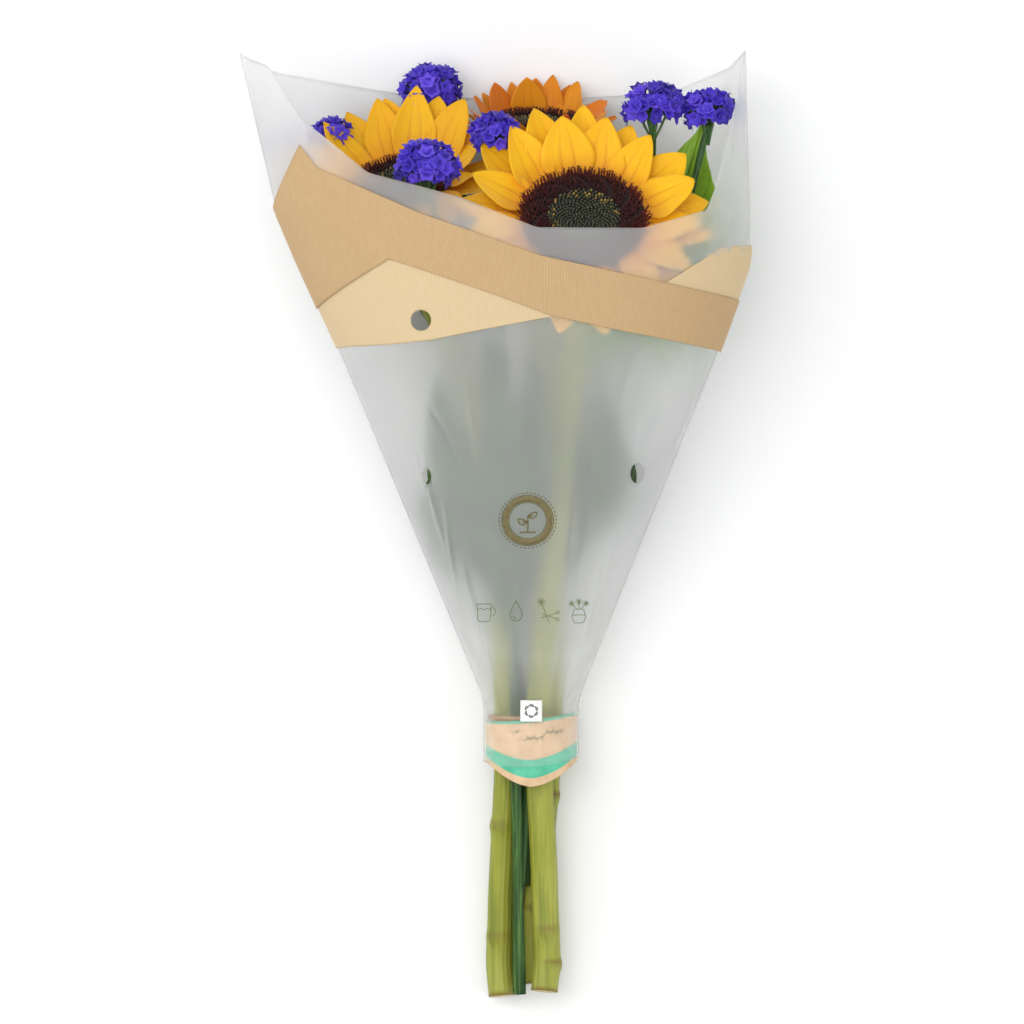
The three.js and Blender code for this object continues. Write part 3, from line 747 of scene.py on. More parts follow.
def scattered(name, spots, facings, sizes, tones, small, material, seed):
    """A mesh with one copy of a small piece on each spot."""
    mesh = bpy.data.meshes.new(name + "_points")
    mesh.from_pydata([tuple(spot) for spot in spots], [], [])
    mesh.attributes.new("facing", "FLOAT_VECTOR", "POINT").data.foreach_set(
        "vector", np.asarray(facings, "f").ravel()
    )
    for key, values in (("size", sizes), ("tone", tones)):
        mesh.attributes.new(key, "FLOAT", "POINT").data.foreach_set("value", np.asarray(values, "f"))
    carrier = bpy.data.objects.new(name + "_points", mesh)
    bpy.context.scene.collection.objects.link(carrier)
    change = carrier.modifiers.new("scatter", "NODES")
    change.node_group = scatter
    keys = {item.name: item.identifier for item in scatter.interface.items_tree if item.in_out == "INPUT"}
    change[keys["Piece"]] = small
    change[keys["Size"]] = 1.0
    change[keys["Seed"]] = seed
    change[keys["Finish"]] = material
    made = bpy.data.meshes.new_from_object(carrier.evaluated_get(bpy.context.evaluated_depsgraph_get()))
    made.name = name
    bpy.data.objects.remove(carrier)
    piece = bpy.data.objects.new(name, made)
    bpy.context.scene.collection.objects.link(piece)
    return piece


def small_piece(name, sides, rings, tips=()):
    """A small closed shape from rings of (radius, height, wave), in millimetres, and thin tips.

    Its attribute 'along' runs from 0 at the foot to 1 at the highest place.
    """
    points, along = [], []
    for radius, height, wave in np.array(rings) * (MM, MM, 1):
        for k in range(sides):
            turn = 2 * math.pi * k / sides
            side = wave * (k % 2 - 0.5)
            reach = radius * (1 + side)
            points.append((reach * math.cos(turn), reach * math.sin(turn), height + radius * side))
            along.append(height)
    faces = grid_faces(len(rings), sides, wrapped=True).tolist()
    last = (len(rings) - 1) * sides
    for start, turned in ((0, True), (last, False)):
        points.append(tuple(np.mean(points[start : start + sides], axis=0)))
        along.append(points[-1][2])
        for k in range(sides):
            pair = [start + k, start + (k + 1) % sides]
            faces.append((pair[::-1] if turned else pair) + [len(points) - 1])
    for route in tips:
        start = len(points)
        for k, spot in enumerate(np.array(route) * MM):
            for j in range(3):
                turn = 2 * math.pi * j / 3
                thin = TIP_RADIUS * (1 - 0.6 * k / (len(route) - 1))
                points.append((spot[0] + thin * math.cos(turn), spot[1] + thin * math.sin(turn), spot[2]))
                along.append(spot[2])
        for a, b, c, d in grid_faces(len(route), 3, start, True).tolist():
            faces += [[a, b, d], [b, c, d]]
        end = start + 3 * (len(route) - 1)
        faces += [[start + 2, start + 1, start], [end, end + 1, end + 2]]
    mesh = bpy.data.meshes.new(name)
    mesh.from_pydata(points, [], faces)
    highest = max(along)
    mesh.attributes.new("along", "FLOAT", "POINT").data.foreach_set("value", [a / highest for a in along])
    mesh.polygons.foreach_set("use_smooth", [True] * len(mesh.polygons))
    return bpy.data.objects.new(name, mesh)


TIP_RADIUS = 0.26 * MM
ring_floret = small_piece(
    "open_floret",
    5,
    [(0.5, 0, 0), (0.42, 1.1, 0), (0.55, 2.2, 0), (0.3, 2.6, 0)],
    [
        [(0, 0, 2.2), (0.5, 0, 3.3), (1.15, 0.2, 3.6), (1.3, 0.3, 3.0)],
        [(0, 0, 2.2), (-0.4, -0.2, 3.4), (-1.1, -0.3, 3.7), (-1.3, -0.2, 3.1)],
    ],
)
bud = small_piece("closed_bud", 6, [(0.75, 0, 0), (0.85, 0.8, 0), (0.5, 1.5, 0)])


def floret_finish():
    finish = Finish("floret_maroon", Roughness=0.6)
    along, tone = finish.attribute("along"), finish.attribute("tone")
    dark = finish.ramp(
        tone, (0.0, linear(14, 3, 4)), (0.4, linear(56, 10, 8)), (1.0, linear(112, 28, 18))
    )
    finish.feed("Base Color", finish.blend(along * along * 0.45, dark, linear(132, 38, 20)))
    finish.feed("Roughness", along * -0.2 + 0.75)
    return finish.material


def bud_finish():
    finish = Finish("bud_green", Roughness=0.6)
    along, tone = finish.attribute("along"), finish.attribute("tone")
    # Near black at each bud's foot and greener at its top: painted shade between the crowded buds.
    green = finish.ramp(along, (0.2, linear(8, 9, 6)), (0.95, linear(58, 66, 44)))
    golden = finish.ramp(tone, (0.55, (0, 0, 0, 1)), (0.95, (1, 1, 1, 1)))
    finish.feed("Base Color", finish.blend(golden * along * 0.8, green, linear(176, 142, 58)))
    finish.feed("Roughness", finish.noise(2000, 2) * 0.3 + 0.5)
    return finish.material


floret_material = floret_finish()
bud_material = bud_finish()
GOLDEN_ANGLE = math.pi * (3 - math.sqrt(5))
LARGEST_REACH = 69 * MM
FLORET_PITCH = 1.05 * MM
for number in HEAD_CUPS:
    plane, tip = head_plane(number)
    disc, centre = DISC_SHARE * tip, 0.29 * tip
    rise = 0.13 * tip
    seat_level = PETAL_ROOT_DEPTH
    turn3 = plane.to_3x3()

    def cushion(radius):
        """The height of the disc's surface: raised in a ring, hollow in the middle."""
        part = radius / disc
        return seat_level + rise * (0.38 + 0.42 * math.sin(min(1, part / 0.84) * math.pi / 2) ** 2
                                    - 0.9 * max(0, part - 0.84) ** 1.2 * 3)

    sets = {"ring": ([], [], [], []), "buds": ([], [], [], [])}
    for k in range(1, int((0.985 * disc / FLORET_PITCH) ** 2) + 1):
        radius = FLORET_PITCH * math.sqrt(k)
        key = "ring" if radius > centre else "buds"
        spots, facings, sizes, tones = sets[key]
        turn = k * GOLDEN_ANGLE
        if key == "ring" and k % 5 == 4:
            continue
        height = cushion(radius) - 1.2 * MM
        slope = (cushion(radius + MM) - cushion(radius - MM)) / (2 * MM)
        lean = chance.uniform(-0.25, 0.25)
        other_lean = chance.uniform(-0.25, 0.25)
        facing = Vector((-slope * math.cos(turn) + lean, -slope * math.sin(turn) + other_lean, 1))
        spots.append(plane @ Vector((radius * math.cos(turn), radius * math.sin(turn), height)))
        facings.append(turn3 @ facing.normalized())
        edge = (radius - centre) / (disc - centre)
        if key == "ring":
            head_scale = 0.8 + 0.2 * tip / LARGEST_REACH
            sizes.append((0.85 + 0.35 * edge) * chance.uniform(0.85, 1.15) * head_scale)
            tones.append(min(1, max(0, edge * 1.1 - 0.25 + chance.uniform(-0.2, 0.2))))
        else:
            sizes.append(chance.uniform(0.85, 1.15))
            rim = math.exp(-(((radius - 0.9 * centre) / (0.13 * centre)) ** 2))
            tones.append(chance.random() * (0.62 + 0.5 * rim))
    pile = Pile()
    levels = [(0, seat_level + 0.3 * MM), (0.965 * disc, seat_level + 0.3 * MM)]
    for share in (0.97, 0.9, 0.8, 0.7, 0.6, 0.45, 0.3, 0.15):
        levels.append((disc * share, cushion(disc * share) - 1.0 * MM))
    levels += [(0, cushion(0) - 1.0 * MM)]
    turned_shell(pile, levels, 48, 0.1)
    bed = pile.piece(f"floret_bed_of_sunflower_{number}", floret_material, plane)
    bed.data.attributes.new("along", "FLOAT", "POINT")
    settle(bed, "florets")
    name = f"ring_florets_of_sunflower_{number}"
    ring = scattered(name, *sets["ring"], ring_floret, floret_material, number)
    settle(ring, "florets", f"sunflower_{number}_floret_ring")
    buds = scattered(f"buds_of_sunflower_{number}", *sets["buds"], bud, bud_material, number)
    settle(buds, "disc_centre", f"sunflower_{number}_disc_centre")

# ---- Leaves ----
# Broad sunflower leaves grow along the stems inside the sleeve. Each is a thin soft blade with a
# pale midrib, side veins that curve towards the tip, and a slightly toothed, wavy edge.


def long_axis_frame(spots):
    """The middle of a flat, long node, and its directions: along it, across it and out of it."""
    middle = spots.mean(0)
    along, across, out = np.linalg.svd(spots - middle)[2]
    if along[1] < 0:
        along = -along
    if out[2] < 0:
        out = -out
    return middle, along, np.cross(along, out), out


def leaf_blade(name, ribs, halves, out, material, seed):
    """A leaf along a midrib, with its half widths from foot to tip and the way its face looks."""
    rows, columns = 56, 33
    path = smooth_path([Vector(rib) for rib in ribs], rows - 1)
    wide = np.interp(np.linspace(0, 1, rows), np.linspace(0, 1, len(halves)), halves)
    wide = np.convolve(np.pad(wide, 4, mode="edge"), np.ones(9) / 9, "valid")
    wide[-6:] *= np.linspace(1, 0.12, 6)
    chance = random.Random(seed)
    phase = chance.uniform(0, 6)
    part = np.linspace(0, 1, rows)[:, None]
    side = np.linspace(-1, 1, columns)[None, :]
    teeth = 1 + 0.03 * np.abs(np.sin(part * 60)) * np.abs(side) ** 6
    half = wide[:, None] * teeth
    veins = np.sin((part * 9 - np.abs(side) * 1.5) * 2 * math.pi) ** 16
    rise = half * 0.16 * np.abs(side) + 0.5 * MM * np.abs(side) ** 0.5
    rise = rise - 0.5 * MM * veins * (1 - np.abs(side)) - 0.9 * MM * np.exp(-((side / 0.06) ** 2))
    rise = rise + 1.1 * MM * np.sin(part * 14 + phase) * np.abs(side) ** 2 * np.sign(side)
    spine = np.array(path)[:, None, :]
    ahead = np.gradient(np.array(path), axis=0)
    ahead /= np.linalg.norm(ahead, axis=1, keepdims=True)
    over = np.cross(ahead, out)
    over /= np.linalg.norm(over, axis=1, keepdims=True)
    up = np.cross(over, ahead)
    grid = spine + over[:, None, :] * (half * side)[..., None] + up[:, None, :] * rise[..., None]
    shape = (rows, columns)
    return sheet_piece(name, grid, grid_faces(*shape), shape, 0.4 * MM, material, chance.random())


def leaf_piece(node, name, material, seed, fuller=1.0):
    """A leaf whose midrib, width and lie come from its CAD solid's rows."""
    spots = corners(node)
    middle, along, across, out = long_axis_frame(spots)
    place = (spots - middle) @ along
    low, high = place.min(), place.max()
    bins = np.linspace(low, high, 12)
    ribs, halves = [], []
    for a, b in zip(bins, bins[1:]):
        near = spots[(place >= a - 1e-6) & (place <= b + 1e-6)]
        if len(near) > 3:
            ribs.append(near.mean(0))
            halves.append(fuller * np.ptp((near - middle) @ across) / 2)
    ribs = [spots[place.argmin()]] + ribs + [spots[place.argmax()]]
    halves = [1.2 * MM] + halves + [0.4 * MM]
    settle(leaf_blade(name, ribs, halves, out, material, seed), "leaf", node)


def leaf_finish(name, dark, mid, pale, vein):
    finish = Finish(name, Roughness=0.5, Specular_IOR_Level=0.4)
    across, along = finish.across_and_along()
    side = (across * 2 - 1).math("ABSOLUTE")
    mottle = finish.noise(60, 5)
    green = finish.ramp(mottle, (0.3, dark), (0.55, mid), (0.8, pale))
    wave = ((along * 9 - side * 1.5) * (2 * math.pi)).sine()
    veins = finish.ramp(wave * wave, (0.93, (0, 0, 0, 1)), (1.0, (1, 1, 1, 1)))
    rib = finish.ramp(side, (0.0, (1, 1, 1, 1)), (0.05, (0, 0, 0, 1)))
    lines = (veins * 0.45).math("MAXIMUM", rib)
    finish.feed("Base Color", finish.blend(lines, green, vein))
    finish.feed("Roughness", mottle * 0.2 + 0.42)
    finish.bump(finish.noise(700, 3) * 0.5 - lines, 0.4, 0.0004)
    return finish.material


dark_leaf = leaf_finish(
    "leaf_dark", linear(34, 62, 26), linear(48, 84, 32), linear(70, 104, 44), linear(104, 132, 70)
)
bright_leaf = leaf_finish(
    "leaf_bright", linear(116, 164, 36), linear(140, 184, 50), linear(158, 198, 70), linear(60, 104, 20)
)
leaf_piece("sunflower_1_leaf", "leaf_of_sunflower_1", dark_leaf, 3)
leaf_piece("sunflower_2_leaf", "leaf_of_sunflower_2", dark_leaf, 5)
leaf_piece("sunflower_3_leaf", "leaf_of_sunflower_3", dark_leaf, 8)
leaf_piece("upper_leaf", "upper_leaf_blade", bright_leaf, 9, 2.3)

# Four more leaves inside the sleeve, which stand for no CAD node: the points of each midrib and its
# greatest half width, in millimetres.
inner_leaves = [
    ([(-4, -30, 48), (-14, 0, 62), (-26, 40, 76), (-34, 84, 84)], 15),
    ([(18, -36, 52), (16, 8, 68), (18, 50, 80), (22, 94, 88)], 14),
    ([(10, -66, 40), (6, -30, 55), (3, 8, 64), (0, 44, 70)], 12),
    ([(14, -20, 56), (8, 20, 74), (2, 60, 86), (-6, 100, 92)], 14),
]
for k, (ribs, reach) in enumerate(inner_leaves):
    ribs = [Vector(rib) * MM for rib in ribs]
    halves = [share * reach * MM for share in (0.1, 0.55, 0.95, 1.0, 0.8, 0.45, 0.05)]
    leaf = leaf_blade(f"inner_leaf_{k + 1}", ribs, halves, (0, -0.2, 1), dark_leaf, 20 + k)
    settle(leaf, "leaf")

# ---- Statice stems ----
# Statice has tough dark green stems with four thin wavy wings along them. They fork under the
# flower clusters, where small leafy wings and stalks carry the florets.


def statice_green():
    finish = Finish("statice_stem_green", Roughness=0.45, Specular_IOR_Level=0.4)
    across, along = finish.across_and_along()
    streaks = finish.noise(420, 4, (1, 0.04, 1))
    green = finish.ramp(
        streaks, (0.3, linear(16, 46, 8)), (0.55, linear(44, 88, 20)), (0.8, linear(104, 136, 64))
    )
    wings = (across * (8 * math.pi)).math("COSINE")
    finish.feed("Base Color", finish.blend(wings.over(0.8) * 0.35, green, linear(104, 134, 84)))
    finish.feed("Roughness", streaks * 0.25 + 0.35)
    finish.bump(streaks, 0.4, 0.0004)
    return finish.material


def winged(pile, path, radius, wings, phase):
    """A stem with thin wings that wander along it; wings is their share of its radius."""
    def reach_at(part, turn):
        ridge = max(0, math.cos(4 * (turn + phase) + 0.8 * math.sin(5 * part))) ** 3
        taper = 1 - 0.25 * part
        return radius * taper * (0.74 + wings * ridge * (0.8 + 0.2 * math.sin(23 * part + phase)))

    pile.add(*stem_shell(path, reach_at, 32))


statice_stem_material = statice_green()
STATICE_RADIUS = 3.3 * MM
cluster_boxes = {}
for number in (1, 2, 3):
    node = f"statice_{number}_stem"
    foot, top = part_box(node)
    stations = np.arange(foot.y + 1 * MM, top.y, 6 * MM)
    trunk = []
    for y in stations:
        cut = slice_at(node, y)
        if not cut or np.ptp([p.x for p in cut]) > 3.4 * STATICE_RADIUS:
            break
        middle = sum(cut, Vector()) / len(cut)
        if np.ptp([p.z for p in cut]) > 4 * STATICE_RADIUS:
            break
        trunk.append(middle)
    trunk[0].y = foot.y
    fork = trunk[-1]
    pile = Pile()
    winged(pile, smooth_path(trunk[::3] + [fork], 90), STATICE_RADIUS, 0.5, 0.4 * number)
    for letter in "ab":
        below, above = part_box(f"statice_{number}_cluster_{letter}")
        centre = (below + above) / 2
        cluster_boxes[number, letter] = (centre, (above - below) / 2)
        end = Vector((centre.x, below.y + 2 * MM, centre.z))
        middle = (fork + end) / 2 + Vector(((end.x - fork.x) * 0.12, 0, 0))
        start = fork - (fork - trunk[-2]) * 0.5
        winged(pile, smooth_path([start, middle, end], 40), 0.8 * STATICE_RADIUS, 0.55, 0.9)
    stem = pile.piece(f"stems_of_statice_{number}", statice_stem_material)
    settle(stem, "statice_stem", node)

# ---- Statice clusters ----
# Each cluster is a crowded, flat-topped spray. Every floret is a papery violet funnel with a
# frilled rim, held in a small green cup, and thin stalks run up among them.
funnel = small_piece(
    "statice_funnel",
    10,
    [(0.6, 0, 0), (0.9, 2.0, 0), (1.9, 4.2, 0.14), (3.7, 5.6, 0.3), (3.4, 5.9, 0.3), (1.6, 4.4, 0.1),
     (0.5, 3.0, 0)],
)
# The funnels' darker feet are painted shade deep inside the crowded clusters.
FULL_VIOLET = 6.1 * MM  # the height at which the darkness of the funnel's foot is gone
funnel.data.attributes["along"].data.foreach_set(
    "value", [min(1, vertex.co.z / FULL_VIOLET) for vertex in funnel.data.vertices]
)
cup_leaf = small_piece("statice_cup", 6, [(0.5, 0, 0), (1.0, 1.4, 0.1), (1.3, 3.4, 0.4), (0.4, 4.6, 0.2)])
STALK_RADIUS = 0.7 * MM


def funnel_finish():
    finish = Finish("statice_violet", Roughness=0.55, Sheen_Weight=0.2)
    along, tone = finish.attribute("along"), finish.attribute("tone")
    # Lighter violet with the tone, which carries painted light on the up-facing florets.
    violet = finish.ramp(
        tone, (0.0, linear(34, 6, 140)), (0.5, linear(60, 22, 196)), (1.0, linear(104, 70, 228))
    )
    # Darker towards the foot: painted shade among the crowded funnels.
    finish.feed("Base Color", finish.blend((1 - along) * 0.55, violet, linear(14, 0, 70)))
    finish.feed("Roughness", finish.noise(1500, 2) * 0.25 + 0.42)
    finish.bump(finish.noise(2600, 2), 0.35, 0.0003)
    return finish.material


CLUSTER_SPREAD = {1: 1.0, 2: 1.0, 3: 1.2}  # the third sprig opens wider than its CAD clusters
funnel_material = funnel_finish()
for (number, letter), (centre, reach) in cluster_boxes.items():
    chance = random.Random(10 * number + ord(letter))
    size = reach.x / (18 * MM)
    count = max(30, int(110 * size**1.6))
    spots, facings, sizes, tones = [], [], [], []
    cups = ([], [], [], [])
    for k in range(count):
        level = 1 - 1.62 * (k + 0.5) / count
        turn = k * GOLDEN_ANGLE
        flat = math.sqrt(1 - level * level)
        out = Vector((flat * math.cos(turn), level, flat * math.sin(turn)))
        out += Vector([chance.uniform(-0.22, 0.22) for _ in range(3)])
        out.normalize()
        depth = chance.uniform(0.42, 0.74)
        wide = out.x * reach.x * CLUSTER_SPREAD[number]
        spot = centre + Vector((wide, out.y * reach.y, out.z * reach.z)) * depth
        face = Vector((out.x / reach.x, out.y / reach.y + 0.35 / reach.x, out.z / reach.z)).normalized()
        spots.append(spot)
        facings.append(face)
        sizes.append(chance.uniform(0.8, 1.25))
        # Tone at random, plus painted light: florets on the cluster's upper side come out lighter violet.
        tones.append(chance.random() * 0.75 + 0.25 * max(0, out.z))
        cups[0].append(spot - face * 3.0 * MM)
        cups[1].append(face)
        cups[2].append(chance.uniform(0.8, 1.3))
        cups[3].append(chance.random())
    name = f"statice_{number}_{letter}"
    florets = scattered(name + "_florets", spots, facings, sizes, tones, funnel, funnel_material, number)
    settle(florets, "statice_floret", f"statice_{number}_cluster_{letter}")
    below = scattered(name + "_cups", *cups, cup_leaf, statice_stem_material, number + 7)
    settle(below, "statice_stem")
    pile = Pile()
    root = Vector((centre.x, centre.y - reach.y, centre.z)) - Vector((0, 10 * MM, 0))
    for k in range(0, count, 9):
        path = smooth_path([root, (root + spots[k]) / 2 + Vector((0, 2 * MM, 0)), cups[0][k]], 6)
        pile.add(*stem_shell(path, lambda part, turn: STALK_RADIUS, 6))
    stalks = pile.piece(name + "_stalks", statice_stem_material)
    settle(stalks, "statice_stem")

# ---- Elastic band ----
# A brown rubber band holds the stems. It is wound round them twice, under the sachet and sleeve.
band_low, band_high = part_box("elastic_band")
tie = np.array([(band_low.x + band_high.x) / 2, (band_low.y + band_high.y) / 2, 0])
BAND_INSET = 2.4 * MM
neck_half_width = (band_high.x - band_low.x) / 2 + BAND_INSET
neck_height = band_high.z + BAND_INSET
largest_head, R = head_plane(1)
heads_y = largest_head.translation.y - tie[1]
dome_power, flat_share = 2.8, 0.5

# The flat bag, opened by the flowers, at six places along it: distance from the tie, left and
# right weld, height of the front panel, and height of the welds.
sleeve_stations = np.array([
    (-22 * MM, -neck_half_width, neck_half_width, neck_height, 0.48 * neck_height),
    (12 * MM, -neck_half_width, neck_half_width, neck_height, 0.48 * neck_height),
    (heads_y - 0.96 * R, -1.53 * R, 1.49 * R, 2.12 * R, 0.84 * R),
    (heads_y - 0.25 * R, -1.855 * R, 1.746 * R, 2.2 * R, 0.93 * R),
    (heads_y + 0.19 * R, -2.04 * R, 1.74 * R, 2.2 * R, 0.96 * R),
    (heads_y + 1.42 * R, -2.33 * R, 1.71 * R, 2.0 * R, 1.0 * R),
])


def sleeve_section(y):
    """Left, right, height and weld height at distances from the tie, eased over the corners."""
    away, *columns = sleeve_stations.T
    near = [y + k * MM for k in (-5, 0, 5)]
    return [np.mean([np.interp(spot, away, column) for spot in near], axis=0) for column in columns]


def sleeve_point(front, u, y):
    """A point of the sleeve at share u across it, -1 at the left weld and +1 at the right."""
    left, right, height, seam = sleeve_section(y)
    x = (left + right) / 2 + u * (right - left) / 2
    away = np.clip(np.abs(u), 0, 1)
    if front:
        z = seam + (height - seam) * (1 - away**dome_power) ** (1 / dome_power)
    else:
        turned = np.clip((away - flat_share) / (1 - flat_share), 0, 1)
        z = seam * (1 - np.sqrt(1 - turned**2))
    return np.stack(np.broadcast_arrays(x, y + 0 * x, z), axis=-1) + tie


def sleeve_outward(front, u, y):
    step = 0.002
    inner = u * (1 - 2 * step)
    across = sleeve_point(front, inner + step, y) - sleeve_point(front, inner - step, y)
    along = sleeve_point(front, inner, y + MM) - sleeve_point(front, inner, y - MM)
    normal = np.cross(across, along)
    normal /= np.linalg.norm(normal, axis=-1, keepdims=True)
    return normal if front else -normal


def ridge(x, y, start, end, height, width):
    """A crease: a narrow ridge between two places, fading at its ends."""
    run = np.array(end) - np.array(start)
    length = np.hypot(*run)
    along = ((x - start[0]) * run[0] + (y - start[1]) * run[1]) / length
    off = ((x - start[0]) * run[1] - (y - start[1]) * run[0]) / length
    fade = np.clip(np.sin(np.clip(along / length, 0, 1) * math.pi), 0, 1) ** 0.7
    return height * fade * np.exp(-((off / width) ** 2))


# Creases of the front film, in millimetres from the tie: start, end, height and width.
creases = [
    ((-63, 152), (-48, 96), 1.6, 1.3), ((-48, 120), (-41, 66), 1.4, 1.2),
    ((-58, 176), (-38, 140), -1.2, 1.4),
    ((-36, 190), (-28, 132), 1.0, 1.5), ((-38, 88), (-24, 28), 1.3, 1.6), ((30, 150), (22, 60), -0.9, 2.4),
    ((52, 132), (34, 52), 1.0, 2.2), ((72, 190), (52, 120), 0.8, 2.6), ((-12, 62), (-8, 14), 0.9, 1.8),
    ((14, 58), (9, 14), 1.0, 1.8), ((26, 40), (17, 8), 1.2, 1.6), ((-27, 40), (-18, 6), 1.0, 1.5),
    ((2, 46), (1, 12), -0.8, 1.6), ((40, 96), (27, 36), 1.1, 1.7), ((6, 255), (38, 238), 0.7, 1.8),
]


def film_wave(front, u, y):
    """How far the film stands out from its smooth shape."""
    x = (sleeve_point(front, u, y) - tie)[..., 0] / MM
    y = y / MM + 0 * x
    calm = 1 - np.abs(u) ** 10
    wave = 0.5 * np.sin(x / 17 + y / 70) + 0.35 * np.sin(x / 8.5 - y / 41 + 1) * np.exp(-(y / 240) ** 2)
    gather = np.exp(-((y / 34) ** 2))
    wave = wave * (1 - gather) + gather * 0.9 * (0.5 + 0.5 * np.sin(x / 2.1 + 0.7 * np.sin(y / 9)))
    if front:
        for start, end, height, width in creases:
            wave = wave + ridge(x, y, start, end, height, width)
    return wave * calm * MM


def on_sleeve(front, u, y, outward=0.0):
    u, y = np.broadcast_arrays(np.asarray(u, float), np.asarray(y, float))
    spots = sleeve_point(front, u, y)
    spots = spots + sleeve_outward(front, u, y) * (film_wave(front, u, y) + outward)[..., None]
    spots[..., 2] += (0.15 if front else -0.15) * MM * np.abs(u) ** 8
    return spots


def around_neck(steps):
    """Places once round the bundle at the tie: the front from left to right, then the back."""
    half_turn = np.linspace(-1, 1, steps + 1)[:-1] + 1 / steps
    front = np.sign(half_turn) * np.sin(np.abs(half_turn) * math.pi / 2)
    return [(True, u) for u in front] + [(False, -u) for u in front]


elastic = Finish("elastic_rubber", Roughness=0.55)
elastic_shade = elastic.noise(300, 3)
elastic_brown = elastic.ramp(elastic_shade, (0.3, linear(150, 112, 66)), (0.7, linear(178, 140, 90)))
elastic.feed("Base Color", elastic_brown)
elastic.bump(elastic_shade, 0.2, 0.0002)
pile = Pile()
neck_places = around_neck(60)
for winding, middle in ((0, -1.5 * MM), (1, 1.5 * MM)):
    rings = []
    for k, (front, u) in enumerate(neck_places):
        spot = sleeve_point(front, np.array(u), np.array(0.0))
        outward = sleeve_outward(front, np.array(u), np.array(0.0))
        wander = 0.35 * MM * math.sin(4 * math.pi * k / len(neck_places) + winding * 2)
        ring = []
        for j in range(10):
            turn = 2 * math.pi * j / 10
            spot_here = spot - outward * (BAND_INSET + 0.6 * MM - 0.5 * MM * math.cos(turn))
            ring.append(spot_here + np.array([0, middle + wander + 1.3 * MM * math.sin(turn), 0]))
        rings.append(ring)
    rings.append(rings[0])
    grid = np.array(rings)
    faces = grid_faces(len(rings) - 1, 10, wrapped=True)
    last = (len(rings) - 2) * 10
    closing = [[last + j, last + (j + 1) % 10, (j + 1) % 10, j] for j in range(10)]
    points = grid[:-1].reshape(-1, 3)
    uvs = [(j / 10, k / len(points) * 10) for k in range(len(points) // 10) for j in range(10)]
    pile.add(points, np.concatenate([faces, closing])[:, ::-1], uvs)
band = pile.piece("elastic_band_windings", elastic.material)
settle(band, "elastic", "elastic_band")

# ---- Flower-food sachet ----
# A small paper packet is wrapped over the front of the stems at the tie. It is brown paper with a
# green band across it, crimped hems, and a faint drawing of plain sprigs.


def sachet_finish():
    finish = Finish("sachet_paper", Roughness=0.45, Specular_IOR_Level=0.35)
    across, along = finish.across_and_along()
    fibre = finish.noise(160, 5)
    kraft = finish.ramp(fibre, (0.3, linear(206, 172, 132)), (0.6, linear(222, 190, 150)))
    green = finish.ramp(fibre, (0.3, linear(70, 172, 138)), (0.6, linear(92, 192, 156)))
    band = (along + fibre * 0.006).over(0.13) * (0.4 - along).over(0)
    line = along.over(0.955)
    finish.feed("Base Color", finish.blend(band + line, kraft, green))
    finish.feed("Roughness", fibre * 0.2 + 0.36)
    crimps = (across * 420).sine() * ((0.1 - along).over(0) + along.over(0.93))
    finish.bump(fibre + crimps * 0.6, 0.35, 0.0003)
    return finish.material


def sachet_grid(depth, rows, columns):
    turn = np.linspace(-1, 1, columns)[None, :] * 0.93
    u = np.sign(turn) * np.sin(np.abs(turn) * math.pi / 2)
    v = np.linspace(0, 1, rows)[:, None]
    lower = (-36.5 + 14 * np.abs(u) ** 1.7) * MM
    upper = (0.5 + 2.5 * u + 1.5 * u**2) * MM
    y = lower + (upper - lower) * v
    zero = np.zeros_like(y)
    spots = sleeve_point(True, u + zero, zero)
    spots[..., 1] = tie[1] + y
    swell = 0.28 * MM * np.sin(v * math.pi) ** 0.5 * np.sin(3.1 * turn + 4 * v)
    inset = depth + 0.2 * MM * np.sin(11 * turn + 3 * v) - swell
    return spots - sleeve_outward(True, u + zero, zero) * inset[..., None]


shape = (50, 120)
grid = sachet_grid(1.5 * MM, *shape)
sachet = sheet_piece("sachet_packet", grid, grid_faces(*shape), shape, 0.7 * MM, sachet_finish())
settle(sachet, "sachet_paper", "flower_food_sachet")

# ---- Film sleeve ----
# The sleeve is a cone-shaped bag of frosted film: two panels welded along both sides. The back
# one stands higher. The front one is cut low to show the heads, and has three punched air vents.
front_edge = np.array([
    (-1, 1.42), (-0.88, 1.29), (-0.8, 0.855), (-0.58, 0.435), (-0.22, 0.24), (0.08, 0.0),
    (0.53, -0.004), (0.81, 0.145), (0.85, 0.35), (0.92, 0.83), (1, 1.45),
])
back_edge = np.array([
    (-1, 1.42), (-0.88, 1.29), (-0.43, 1.145), (0.1, 1.07), (0.71, 1.145), (0.94, 1.32), (1, 1.45),
])
FILM = 0.26 * MM
vents = [(-0.87 * R, -0.73 * R, 5.6 * MM, 5.6 * MM), (-0.83 * R, -1.96 * R, 2.5 * MM, 4.2 * MM),
         (0.84 * R, -1.93 * R, 3.9 * MM, 5.6 * MM)]


def with_vents(points, faces):
    """Takes the faces inside each vent out and moves the points round it onto its edge."""
    for x, rise, reach_x, reach_y in vents:
        offset = (points[:, :2] - (tie[:2] + [x, heads_y + rise])) / [reach_x, reach_y]
        near = np.hypot(*offset.T)
        inside = near[faces].mean(axis=1) < 1
        rim = np.intersect1d(faces[inside], faces[~inside])
        faces = faces[~inside]
        points[rim, :2] += offset[rim] * (1 / np.maximum(near[rim], 0.2) - 1)[:, None] * [reach_x, reach_y]
    return points, faces


def eased_edge(edge, u, spread=0.012):
    """An edge outline with its corners slightly rounded."""
    offsets = (-2, -1, 0, 1, 2)
    return np.mean([np.interp(u + k * spread / 2, edge[:, 0], edge[:, 1]) for k in offsets], axis=0)


